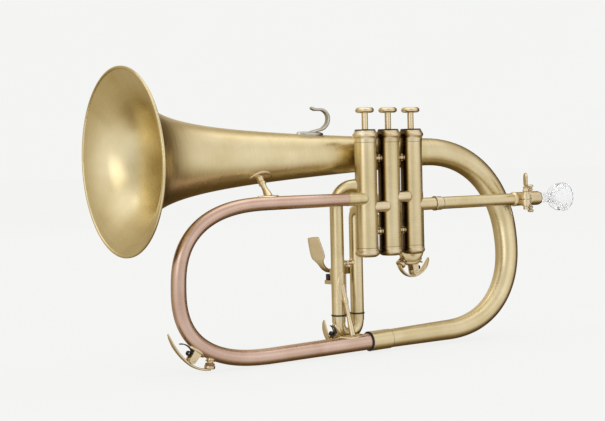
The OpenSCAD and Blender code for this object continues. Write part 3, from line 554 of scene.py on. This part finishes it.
def leaf(surface, half_l, half_w, height, blunt=2.0, rows=28, cols=16):
    """Pointed oval plate lying on a surface: surface(along, across, up) gives a point."""
    points, faces, brush, around = [], [], [], []
    top, under = [], []
    for i in range(rows + 1):
        s = -1 + 2 * i / rows
        width = half_w * max(1 - abs(s) ** blunt, 0.0) ** 0.75 + 0.12
        for layer, store in ((1, top), (0, under)):
            for k in range(cols + 1):
                q = -1 + 2 * k / cols
                crown = (1 - q ** 6) * (1 - s ** 8)
                up = height * (0.35 + 0.65 * crown) if layer else -0.25
                store.append(len(points))
                points.append(surface(s * half_l, q * width, up))
                brush.append((q, 0, s * half_l))
                around.append((k / cols * 0.4, s))
    n = cols + 1
    for grid in (top, under):
        for i in range(rows):
            for k in range(cols):
                one, two = i * n + k, (i + 1) * n + k
                faces.append([grid[one], grid[one + 1], grid[two + 1], grid[two]])
    edge = [(i, 0) for i in range(rows)] + [(rows, k) for k in range(cols)]
    edge += [(i, cols) for i in range(rows, 0, -1)] + [(0, k) for k in range(cols, 0, -1)]
    for (i, k), (i2, k2) in zip(edge, edge[1:] + edge[:1]):
        one, two = i * n + k, i2 * n + k2
        faces.append([top[one], top[two], under[two], under[one]])
    return points, faces, brush, around


def slab(outline, thickness, matrix, edge=0.25):
    """Plate with softened edges: outline is (x, z) in the matrix's XZ plane, thickness along Y."""
    points, faces, brush, around = [], [], [], []
    n = len(outline)
    middle = Vector((sum(p[0] for p in outline) / n, sum(p[1] for p in outline) / n))
    size = max((Vector(p) - middle).length for p in outline)
    share = edge / thickness
    layers = [(-0.5, edge), (-0.5 + 0.3 * share, 0.3 * edge), (-0.5 + share, 0),
              (0.5 - share, 0), (0.5 - 0.3 * share, 0.3 * edge), (0.5, edge)]
    for at_y, inset in layers:
        for x, z in outline:
            p = middle + (Vector((x, z)) - middle) * (1 - inset / size)
            points.append(matrix @ Vector((p[0], at_y * thickness, p[1])))
            brush.append((x, z, at_y))
            around.append((0, z / 100))
    for i in range(len(layers) - 1):
        for k in range(n):
            j = (k + 1) % n
            faces.append([i * n + k, i * n + j, (i + 1) * n + j, (i + 1) * n + k])
    faces.append(list(range(n)))
    faces.append(list(range((len(layers) - 1) * n, len(layers) * n)))
    return points, faces, brush, around


# ---- Bell, bow and crook ----

def bell_flare(d):
    return (FLARE_START / (d + FLARE_START)) ** FLARE_POWER


def bell_radius(d):
    def line(e):
        return BELL_REAR_D / 2 + BELL_SLOPE * (BELL_L - e)
    end = bell_flare(BELL_L)
    return line(d) + (BELL_D / 2 - line(0)) * (bell_flare(d) - end) / (1 - end)


bell_ds = [BELL_L * (k / 90) ** 2.2 for k in range(91)]
bell_out = [(-BELL_L + d, bell_radius(d)) for d in bell_ds]
bell_in = [(x, r - SHEET) for x, r in reversed(bell_out)]
build("bell_skin", [turned(bell_out + bell_in, BELL_FRAME @ X_AXIS @ turn(90, "Z"), 192)],
      "horn", brass_bell, ("bell",))


def u_turn(angle, reach, power):
    c, s = math.cos(math.radians(angle)), math.sin(math.radians(angle))
    return reach * abs(c) ** (2 / power), math.copysign(abs(s) ** (2 / power), s)


def u_angles(steps):
    return [-90 + 180 * k / steps for k in range(steps + 1)]


bow_top, bow_low = Vector((BOW_X, BELL_Y, BELL_Z)), lower_at(BOW_X)
bow_mid, bow_half = (bow_top + bow_low) / 2, (bow_top - bow_low) / 2
bow_path = [lower_at(lerp(BOW_START, BOW_X, k / 12)) for k in range(12)]
for angle in u_angles(110):
    out, up = u_turn(angle, BOW_REACH, BOW_POWER)
    bow_path.append(bow_mid + Vector((out, 0, 0)) + bow_half * up)
build("rear_bow_tube", [swept(bow_path, taper(bow_path, BOW_D1, BELL_REAR_D), SHEET, sides=72)],
      "horn", brass_swept, ("rear_bow",))

crook_low, crook_high = lower_at(CROOK_X), Vector((CROOK_X, CHORD_Y, CROOK_Z))
crook_mid, crook_half = (crook_high + crook_low) / 2, (crook_high - crook_low) / 2
crook_path = [Vector((lerp(CROOK_TOP_X, CROOK_X, k / 12), CHORD_Y, CROOK_Z)) for k in range(12)]
for angle in u_angles(110):
    out, up = u_turn(-angle, CROOK_REACH, CROOK_POWER)
    crook_path.append(crook_mid + Vector((-out, 0, 0)) + crook_half * up)
crook_path += [lower_at(lerp(CROOK_X, CROOK_END_X, k / 14)) for k in range(1, 15)]
crook_radii = taper(crook_path, CROOK_D1, CROOK_D2)
build("crook_tube", [swept(crook_path, crook_radii, SHEET, sides=64)],
      "horn", rose, ("crook",))

# ---- Feet that lie on a tube ----

def tube_surface(path, radii, near, facing):
    """A leaf's surface on a tube: its middle is where the tube faces a direction, beside a point."""
    near, facing = Vector(near), Vector(facing)
    way = distances(path)
    start = way[min(range(len(path)), key=lambda i: (path[i] - near).length)]

    def at(along, across, height):
        s = start + along
        i = next((k for k in range(1, len(way) - 1) if way[k] >= s), len(way) - 1)
        t = (s - way[i - 1]) / (way[i] - way[i - 1])
        centre, radius = path[i - 1].lerp(path[i], t), lerp(radii[i - 1], radii[i], t)
        run = tangent(path, i - 1).lerp(tangent(path, i), t).normalized()
        out = (facing - run * facing.dot(run)).normalized()
        turned_by = across / radius
        way_out = out * math.cos(turned_by) + run.cross(out) * math.sin(turned_by)
        return centre + way_out * (radius + height)

    return at


bell_axis = [BELL_FRAME @ Vector((-BELL_L + 4 + d, 0, 0)) for d in range(0, 296, 5)]
bell_axis_r = [bell_radius(4 + d) for d in range(0, 296, 5)]
left_leg = THIRD_FRAME @ Vector((-THIRD_GAUGE / 2, 0, 0))
leg_path = [Vector((left_leg[0], left_leg[1], -102 + 3 * k)) for k in range(24)]
leg_radii = [LEG_R] * len(leg_path)
under_bell = tube_surface(bell_axis, bell_axis_r, (-124, BELL_Y, 35), (0, -0.7, -0.71))
over_crook = tube_surface(crook_path, crook_radii, (-123.2, CHORD_Y, CROOK_Z), (0, 0.2, 0.98))
build("bell_brace_feet", [leaf(under_bell, 11.5, 6.4, 0.8), leaf(over_crook, 10, 4.6, 1)],
      "horn", brass_bright)
on_leg = tube_surface(leg_path, leg_radii, (left_leg[0], left_leg[1], -79), (0.2, -0.98, 0))
over_lower_run = tube_surface(crook_path, crook_radii, lower_at(-41), (0, 0.12, 0.99))
build("slide_brace_feet", [leaf(on_leg, 13, 5.2, 0.6), leaf(over_lower_run, 12, 6.6, 0.8)],
      "horn", brass_bright)

# ---- Water keys ----

Y_AXIS = turn(-90, "X")
BOW_POINTS = 45
FIRST_OUTER = FIRST_GAUGE / 2 + SLIDE_BOW_R
THIRD_OUTER = THIRD_GAUGE / 2 + SLIDE_BOW_R
CROOK_KEY = move(-197.8, 1.2, -124.5) @ turn(38.5, "Y")
FIRST_KEY = (FIRST_FRAME @ move(0, 0, FIRST_BOW_Z) @ turn(-8, "Y")
             @ move(0, 0, -FIRST_OUTER - KEY_RISE) @ turn(180, "Z"))
THIRD_KEY = THIRD_FRAME @ move(0, 0, THIRD_BOW_Z) @ turn(52, "Y") @ move(0, 0, -THIRD_OUTER - KEY_RISE)


def bow_path_of(frame_at, gauge, z):
    """Centre line of a slide's bow."""
    angles = [math.radians(-88 + 4 * k) for k in range(BOW_POINTS)]
    r = gauge / 2
    return [frame_at @ Vector((r * math.sin(a), 0, z - r * math.cos(a))) for a in angles]


def bow_mouth(outer, angle):
    """A nipple's x, z and lean in a key's frame, at an angle round a bow of that outer radius."""
    a = math.radians(angle)
    r = outer + NIPPLE_OUT
    return r * math.sin(a), outer + KEY_RISE - r * math.cos(a), angle


def strap_point(radius, angle):
    """Point on the middle of a key's strap, which bends with that radius under its hinge."""
    r = radius + STRAP_T / 2
    return Vector((r * math.sin(angle), 0, radius - KEY_DROP - r * math.cos(angle)))


def between(stops, t):
    """Value at t along (place, value) stops."""
    for (a, va), (b, vb) in zip(stops, stops[1:]):
        if t <= b:
            return lerp(va, vb, (t - a) / (b - a))
    return stops[-1][1]


# Along a key's strap, from the finger's end (0) over the hinge (1) to the cup (2)
STRAP_WIDTHS = [(0, 2), (0.12, 4.4), (0.35, 6), (0.6, 5.8), (0.82, 4.8), (1.2, 4.8), (1.5, 4.4), (2, 5)]
STRAP_THICKS = [(0, 1.1), (0.3, 1.6), (1, 1.9), (2, 1.7)]


def key_lever(name, at, mouth, tip, tip_r):
    """Lever with its hinge tube, web and cork cup: mouth is the nipple's x, z and lean."""
    low = CORK_GAP + CORK_T + CUP_WALL
    lean = math.radians(mouth[2])
    cup_x = mouth[0] + low * math.sin(lean)
    cup_h = mouth[1] - low * math.cos(lean) + KEY_DROP + 0.3
    bend_r = (cup_x ** 2 + cup_h ** 2) / (2 * cup_h)
    tip_sweep, cup_sweep = math.asin(tip / tip_r), math.atan2(cup_x, bend_r - cup_h)
    tip_steps, cup_steps = 24, 14
    line = [strap_point(tip_r, -tip_sweep * k / tip_steps) for k in range(tip_steps, 0, -1)]
    line += [strap_point(bend_r, cup_sweep * k / cup_steps) for k in range(cup_steps + 1)]
    places = [k / tip_steps for k in range(tip_steps)]
    places += [1 + k / cup_steps for k in range(cup_steps + 1)]
    widths = [between(STRAP_WIDTHS, p) for p in places]
    thicks = [between(STRAP_THICKS, p) for p in places]
    hub = [(-2.3, 1.05), (-2.3, 2), (-2, 2.3), (2, 2.3), (2.3, 2), (2.3, 1.05)]
    web_z = -KEY_DROP - 0.4
    web = [(-1.7, web_z), (-1.5, -0.6), (0, 0.6), (1.5, -0.6), (1.7, web_z)]
    cup = [(-low + z, r) for z, r in (
        (0, 0), (0, 3.9), (0.6, 4.5), (2.4, 4.5), (2.4, 3.95), (1.6, 3.95), (1.6, 0))]
    nipple = at @ move(mouth[0], 0, mouth[1]) @ turn(-mouth[2], "Y")
    build(name, [
        bar(line, widths, thicks, at, 3.4, 32),
        turned(rounded(hub, 0.3), at @ Y_AXIS, 48),
        slab(web, 4, at, 0.3),
        turned(rounded(cup, 0.35), nipple, 64),
    ], name, brass_bright, (name + "_lever",))


def key_saddle(name, at, mouth, rise, tube, body):
    """Foot with two ears, the hinge pin between them, and the nipple under the cup."""
    arc = [math.radians(180 + 12 * k) for k in range(16)]
    ear = [(3.1 * math.cos(a), 3.1 * math.sin(a)) for a in arc]
    ear += [(3.3, rise * 0.55), (4, rise), (-4, rise), (-3.3, rise * 0.55)]
    pin = [(-4.6, 0), (-4.6, 0.9), (-4.2, 1.4), (-3.6, 1.4), (-3.6, 0.9)]
    pin += [(-z, r) for z, r in reversed(pin)]
    flange = [(0, 1.6), (0, 2.6), (1.2, 2.6), (1.5, 4), (2.2, 4.1), (2.6, 3.3), (5, 3.2), (5, 1.6)]
    nipple = at @ move(mouth[0], 0, mouth[1]) @ turn(-mouth[2], "Y")
    down = -(at.to_3x3() @ Vector((0, 0, 1)))
    foot = at @ Vector((0, 0, rise + 4))
    parts = [slab(ear, 1.2, at @ move(0, side * (KEY_HALF + 0.7), 0), 0.3) for side in (-1, 1)]
    parts += [
        turned(rounded(pin, 0.25), at @ Y_AXIS, 32),
        turned(rounded(flange, 0.2), nipple, 48),
        leaf(tube_surface(*tube, foot, down), 7.5, 5, 1.5, 2.6),
    ]
    build(name, parts, body, brass_bright, (name,))


def key_spring(name, at, reach, body):
    """Hairpin wire from the saddle over the finger's end of the lever, with its dark coil."""
    *sides, (end_x, end_z) = reach
    out = [(x, -1.3, z) for x, z in sides] + [(end_x, -0.7, end_z), (end_x, 0.7, end_z)]
    out += [(x, 1.3, z) for x, z in reversed(sides)]
    wire = [Vector(p) for p in smoothed(out, 5)]
    coil, steps = [], 7 * 16
    for k in range(steps + 1):
        a = 2 * math.pi * k / 16
        y = -2.1 + 4.2 * k / steps
        coil.append(Vector((-4.9 + 1.7 * math.cos(a), y, 2.9 + 1.7 * math.sin(a))))
    build(name, [
        swept(wire, [0.42] * len(wire), side=(0.13, 0.2, 0.97), sides=12, matrix=at),
        swept(coil, [0.36] * len(coil), side=(0, 1, 0), sides=8, matrix=at),
    ], body, spring_dark)


LONG_REACH = [(-3.4, 5.4), (-6, 6.6), (-9.5, 7), (-13, 6.4), (-15.6, 4.9), (-16.2, 4.4)]
SHORT_REACH = [(-3.4, 5.6), (-5, 6.6), (-7.2, 7.2), (-9.2, 7.1), (-10.6, 6.6), (-11, 6.3)]
first_bow_tube = (bow_path_of(FIRST_FRAME, FIRST_GAUGE, FIRST_BOW_Z), [SLIDE_BOW_R] * BOW_POINTS)
third_bow_tube = (bow_path_of(THIRD_FRAME, THIRD_GAUGE, THIRD_BOW_Z), [SLIDE_BOW_R] * BOW_POINTS)
# Name, frame, nipple's mouth, finger's end, strap's bend radius, foot's height, tube under the foot,
# spring's outline and the body that the saddle is on
KEYS = [
    ("crook_key", CROOK_KEY, (15.9, 6.9, 30), 29, 54, 9.4, (crook_path, crook_radii), LONG_REACH, "horn"),
    ("first_key", FIRST_KEY, bow_mouth(FIRST_OUTER, 53), 19.5, 22, KEY_RISE + 2,
     first_bow_tube, SHORT_REACH, "first_slide"),
    ("third_key", THIRD_KEY, bow_mouth(THIRD_OUTER, 48), 19.5, 30, KEY_RISE + 2,
     third_bow_tube, SHORT_REACH, "third_slide"),
]
for key, at, mouth, tip, tip_r, rise, tube, reach, saddle_body in KEYS:
    key_lever(key, at, mouth, tip, tip_r)
    key_saddle(key + "_saddle", at, mouth, rise, tube, saddle_body)
    key_spring(key + "_spring", at, reach, saddle_body)

# ---- Valve springs: a coil of six turns in each casing ----

SPRING_R, WIRE_R = 5.8, 0.45
SPRING_FLOOR, SPRING_TOP, STROKE = -50.75, -19.05, 14
TURN_STEPS = 24
SPRING_STEPS = 6 * TURN_STEPS
for i in (1, 2, 3):
    valve_x = (2 - i) * VALVE_PITCH
    coil = []
    for k in range(SPRING_STEPS + 1):
        a = 2 * math.pi * k / TURN_STEPS
        z = lerp(SPRING_FLOOR + WIRE_R, SPRING_TOP - WIRE_R, k / SPRING_STEPS)
        coil.append(Vector((valve_x + SPRING_R * math.cos(a), SPRING_R * math.sin(a), z)))
    spring = build(f"spring_coil_{i}", [swept(coil, [WIRE_R] * len(coil), side=(0, 0, 1), sides=10)],
                   "horn", spring_steel, (f"valve_spring_{i}",))
    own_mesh(spring)

# ---- Third slide's trigger ----

TRIGGER_FRAME = THIRD_FRAME @ move(*PIVOT)
arm_a = math.radians(TRIGGER_SWING / 2)
pin_at = Vector((ARM_L * math.cos(arm_a), 0, ARM_L * math.sin(arm_a)))
# Along the lever from its hub to the pad's end: x, z, thickness, width
PADDLE = [
    (-1, 0.4, 3.4, 3.6), (-7, 0.4, 3.4, 3.6), (-11.5, 0.9, 3.2, 3.8), (-15.6, 3.4, 3, 4.4),
    (-18.6, 7, 2.6, 5.4), (-20.4, 10, 2.1, 8.6), (-21.4, 12.4, 1.8, 12.6), (-22.6, 16, 1.7, 13.6),
    (-24.2, 21, 1.6, 13), (-25.8, 26, 1.5, 12), (-27, 30.4, 1.3, 11),
]
paddle = smoothed(PADDLE, 5)
hub = [(-2, 1.6), (-2, 3.1), (-1.7, 3.4), (1.7, 3.4), (2, 3.1), (2, 1.6)]
link_pin = [(-1.8, 0), (-1.8, 1.2), (5.4, 1.2), (5.6, 1), (5.6, 0)]
build("trigger", [
    bar([(x, 0, z) for x, z, _, _ in paddle], [w for *_, w in paddle], [t for _, _, t, _ in paddle],
        TRIGGER_FRAME, 4.5, 48, (-0.34, 0.94, 0)),
    bar([pin_at * k / 8 for k in range(1, 9)], [3.6] * 8, [3.6] * 8, TRIGGER_FRAME, 3, 32),
    turned(rounded(hub, 0.3), TRIGGER_FRAME @ Y_AXIS, 64),
    turned(link_pin, TRIGGER_FRAME @ move(*pin_at) @ Y_AXIS, 32),
], "trigger", brass_bright, ("trigger_lever",))

# ---- Finger hook ----

HOOK = [
    (-64, 54.6), (-59, 56), (-54.6, 56.9), (-50.8, 57.8), (-47.8, 59.8), (-45.2, 62.8), (-44.2, 66.4),
    (-44.8, 70), (-47.2, 73), (-50.4, 74.6), (-54.4, 74.8), (-58, 74.9), (-61, 76.2),
]
hook = [(x, BELL_Y, z) for x, z in smoothed(HOOK, 5)]
hook_places = [k / (len(hook) - 1) for k in range(len(hook))]
hook_widths = [between([(0, 7), (0.3, 6), (0.8, 5), (1, 4.6)], p) for p in hook_places]
hook_thicks = [between([(0, 2.2), (0.3, 2.6), (1, 2.4)], p) for p in hook_places]
over_bell = tube_surface(bell_axis, bell_axis_r, (-61.5, BELL_Y, BELL_Z), (0, 0, 1))
build("finger_hook_strip", [
    bar(hook, hook_widths, hook_thicks, Matrix.Identity(4), 4, 32),
    leaf(over_bell, 13.6, 5.6, 2.4, 2.2),
], "horn", nickel, ("finger_hook",))

# ---- Clamp screw and mouthpiece ----

pipe_axis = move(0, CHORD_Y, PIPE_Z)
SCREW = move(SCREW_X, SCREW_Y, PIPE_Z)
shank = [
    (-9.6, 0), (-9.6, 2.3), (-6.9, 2.3), (-6.9, 1.8), (6.9, 1.8), (6.9, 2.9),
    (8.1, 2.9), (8.9, 2.2), (10.3, 2.2), (11.1, 2.7), (11.9, 0),
]
wing = [(-1.25, 0), (-0.75, 5.4), (-1.25, 6.4), (-0.6, 7), (0.6, 7), (1.25, 6.4), (0.75, 5.4), (1.25, 0)]
build("clamp_wing_screw", [
    turned(rounded(shank, 0.4), SCREW, 48),
    turned(rounded(wing, 0.5), SCREW @ turn(SCREW_TURN, "Z") @ move(0, 0, 17.2) @ Y_AXIS, 72),
], "clamp_screw", brass_bright, ("clamp_screw",))

x2, r = MOUTHPIECE_X, MOUTHPIECE_R
shank_end = BARREL_END - 11
outside = smoothed([
    (shank_end, 4.45), (BARREL_END + 1, 4.78), (BARREL_END + 4, 4.7), (x2 - 22, 4.1), (x2 - 19, 4.3),
    (x2 - 16.5, 6), (x2 - 14.5, 9), (x2 - 12, 11.4), (x2 - 9.5, 12.4), (x2 - 8, 12.5),
    (x2 - 7.5, 12.1), (x2 - 7, 12.6), (x2 - 4.5, r - 0.1), (x2 - 2.6, r), (x2 - 1.2, r - 0.1),
    (x2 - 0.3, r - 0.9), (x2, r - 2.2), (x2 - 0.2, r - 3.6), (x2 - 1.2, r - 4.7),
], 4)
inside = smoothed([
    (x2 - 1.2, r - 4.7), (x2 - 4, 8), (x2 - 9, 6.6), (x2 - 14, 4.2), (x2 - 18, 2), (x2 - 22, 2),
    (shank_end, 3.4),
], 4)
build("mouthpiece_glass", [turned(outside + inside[1:], pipe_axis @ X_AXIS, 128)],
      "mouthpiece", acrylic, ("mouthpiece",))

# ---- Fine dark lines where two parts meet ----

def seam(at, radius):
    low_r, high_r = radius - 0.3, radius + 0.05
    return turned([(-0.15, low_r), (-0.15, high_r), (0.15, high_r), (0.15, low_r)], at)


seams = [seam(move(k * VALVE_PITCH, 0, side * JOINT_Z), CAP_R) for k in (-1, 0, 1) for side in (-1, 1)]
seams += [seam(move(FERRULE_X + x, CHORD_Y, PIPE_Z) @ X_AXIS, r) for x, r in ((0, 6.2), (8, 5.75))]
build("joint_lines", seams, "horn", seam_brass)

# ---- Camera at the photograph's viewing angle ----

FOCAL_WIDTHS = 2.186678
right = Vector((0.841129, -0.540318, -0.023651))
up = Vector((0.044546, 0.025631, 0.998679))
back = -Vector((0.538998, 0.841071, -0.045627))
eye = Vector((-0.6855925, -0.9289690, 0.0401357))
camera_data = bpy.data.cameras.new("camera")
camera_data.sensor_width = 36
camera_data.lens = camera_data.sensor_width * FOCAL_WIDTHS
camera_data.clip_start = 0.05
camera_data.clip_end = 60
camera = bpy.data.objects.new("camera", camera_data)
camera.matrix_world = Matrix((
    (right[0], up[0], back[0], eye[0]),
    (right[1], up[1], back[1], eye[1]),
    (right[2], up[2], back[2], eye[2]),
    (0, 0, 0, 1)))
bpy.context.scene.collection.objects.link(camera)
bpy.context.scene.camera = camera

# ---- Materials of the CAD nodes that stay ----

BY_NODE = {
    "bell_rim_wire": brass_rim,
    "bow_ferrule": brass_x,
    "crook_sleeve": brass_x,
    "leadpipe": brass_x,
    "second_slide_tubes": brass_y,
    "second_slide": brass_y,
    "valve_stem_1": brass_bright,
    "valve_stem_2": brass_bright,
    "valve_stem_3": brass_bright,
    "top_caps": brass_cap,
    "bottom_caps": brass_cap,
}
BY_SLOT = {
    "bell_brass": brass_rim,
    "tube_brass": brass_z,
    "casing_brass": brass_casing,
    "bright_brass": brass_bright,
    "rose_brass": rose,
    "nickel_silver": nickel,
    "piston_metal": piston_metal,
    "spring_steel": spring_steel,
    "black_felt": felt,
    "black_rubber": rubber,
    "cork": cork,
    "clear_acrylic": acrylic,
}
for name, thing in frame["nodes"].items():
    for place in thing.material_slots:
        slot = place.material.name.split(".")[0]
        place.material = BY_NODE.get(name) or BY_SLOT[slot]

# ---- Floor, backdrop and light ----

PALE = (0.905, 0.912, 0.898)


def pale_material(name, glow, lit):
    """Nearly even pale paint that glows: lit is the share of its colour that takes the lights."""
    material, tree, shader = nodes_of(name)
    place = noise(tree, object_vector(tree), 1.5, 2)
    for share, socket in ((lit, "Base Color"), (1, "Emission Color")):
        stops = [(at, tuple(c * share * step for c in PALE)) for at, step in ((0.3, 1), (0.7, 1.003))]
        tree.links.new(ramp(tree, place, stops), shader.inputs[socket])
    shader.inputs["Emission Strength"].default_value = glow
    shader.inputs["Roughness"].default_value = 1.0
    shader.inputs["Specular IOR Level"].default_value = 0.0
    return material


FLOOR_R, DOME_R = 9, 10
floor_z = cad_box[0][2] - 0.001
floor_mesh = bpy.data.meshes.new("floor")
floor_angles = [2 * math.pi * k / 64 for k in range(64)]
ring = [(FLOOR_R * math.cos(a), FLOOR_R * math.sin(a), floor_z) for a in floor_angles]
floor_mesh.from_pydata(ring, [], [list(range(64))])
floor_mesh.materials.append(pale_material("floor_pale", 0.9, 0.1))
floor = bpy.data.objects.new("floor", floor_mesh)
bpy.context.scene.collection.objects.link(floor)
floor.visible_glossy = False

world = bpy.data.worlds.new("studio")
bpy.context.scene.world = world
world.use_nodes = True
sky = world.node_tree
background = sky.nodes["Background"]
direction = sky.nodes.new("ShaderNodeTexCoord").outputs["Generated"]


def by_direction(towards, stops):
    """Colour of the sky by how near a direction is to another: -1 is opposite, 1 is the same."""
    dot = sky.nodes.new("ShaderNodeVectorMath")
    dot.operation = "DOT_PRODUCT"
    dot.inputs[1].default_value = towards
    sky.links.new(direction, dot.inputs[0])
    level = sky.nodes.new("ShaderNodeMapRange")
    level.inputs["From Min"].default_value = -1
    level.inputs["From Max"].default_value = 1
    sky.links.new(dot.outputs["Value"], level.inputs["Value"])
    return ramp(sky, level.outputs["Result"], stops)


# Bright in front, warm and dimmer behind, with a little more from above
front_light = by_direction((-0.15, -0.91, 0.39), [
    (0.0, (0.52, 0.44, 0.30)), (0.22, (0.54, 0.46, 0.32)), (0.34, (0.62, 0.55, 0.43)),
    (0.45, (0.86, 0.82, 0.75)), (0.55, (1.02, 1.0, 1.02)), (0.72, (1.02, 1.01, 1.06)),
    (0.9, (0.86, 0.86, 0.90)), (1.0, (0.80, 0.80, 0.84))])
top_glow = by_direction((0.0, 0.31, 0.95), [
    (0.0, (0.84, 0.84, 0.84)), (0.72, (0.84, 0.84, 0.84)), (0.86, WHITE), (1.0, WHITE)])
# Two dark flags: one to the right draws the tubes' right edges, one below draws their undersides
side_flag = by_direction((0.95, 0.31, 0.0), [
    (0.0, WHITE), (0.8, WHITE), (0.87, (0.62, 0.56, 0.45)), (0.94, (0.22, 0.16, 0.08)),
    (1.0, (0.10, 0.06, 0.02))])
low_flag = by_direction((0.5, 0.3, -0.81), [
    (0.0, WHITE), (0.7, WHITE), (0.8, (0.66, 0.60, 0.50)), (0.9, (0.34, 0.27, 0.16)),
    (1.0, (0.24, 0.18, 0.09))])
studio_light = times(sky, times(sky, times(sky, front_light, top_glow), side_flag), low_flag)
sky.links.new(studio_light, background.inputs["Color"])
background.inputs["Strength"].default_value = 1.17

# The backdrop is a dome that only the camera sees, and not the metal
dome_points, dome_faces = [], []
RINGS, SIDES = 16, 48
for i in range(RINGS + 1):
    a = math.pi * (i / RINGS) - math.pi / 2
    r, z = DOME_R * math.cos(a), DOME_R * math.sin(a)
    for k in range(SIDES):
        b = 2 * math.pi * k / SIDES
        dome_points.append((r * math.cos(b), r * math.sin(b), z))
for i in range(RINGS):
    one, two = i * SIDES, (i + 1) * SIDES
    for k in range(SIDES):
        j = (k + 1) % SIDES
        dome_faces.append([one + k, one + j, two + j, two + k])
dome_mesh = bpy.data.meshes.new("backdrop")
dome_mesh.from_pydata(dome_points, [], dome_faces)
dome_mesh.materials.append(pale_material("backdrop_pale", 1.0, 0.0))
dome = bpy.data.objects.new("backdrop", dome_mesh)
bpy.context.scene.collection.objects.link(dome)
dome.visible_glossy = False
dome.visible_diffuse = False
dome.visible_shadow = False


def softbox(name, where, target, width, height, power):
    data = bpy.data.lights.new(name, "AREA")
    data.shape = "RECTANGLE"
    data.size, data.size_y = width, height
    data.energy = power
    thing = bpy.data.objects.new(name, data)
    thing.location = where
    thing.rotation_euler = (Vector(target) - Vector(where)).to_track_quat("-Z", "Y").to_euler()
    thing.visible_camera = False
    bpy.context.scene.collection.objects.link(thing)


AIM = (0.0, 0.0, -0.03)
softbox("softbox_front", (0.45, -1.75, 0.55), AIM, 1.5, 1.3, 2.5)
softbox("softbox_left", (-1.7, -0.9, 0.5), AIM, 0.9, 1.3, 3.5)
softbox("softbox_top", (0.1, 0.2, 1.7), AIM, 2.0, 1.4, 5)
softbox("softbox_back", (0.6, 1.8, 0.7), AIM, 1.6, 1.0, 1.5)

bpy.context.scene.view_settings.view_transform = "Standard"
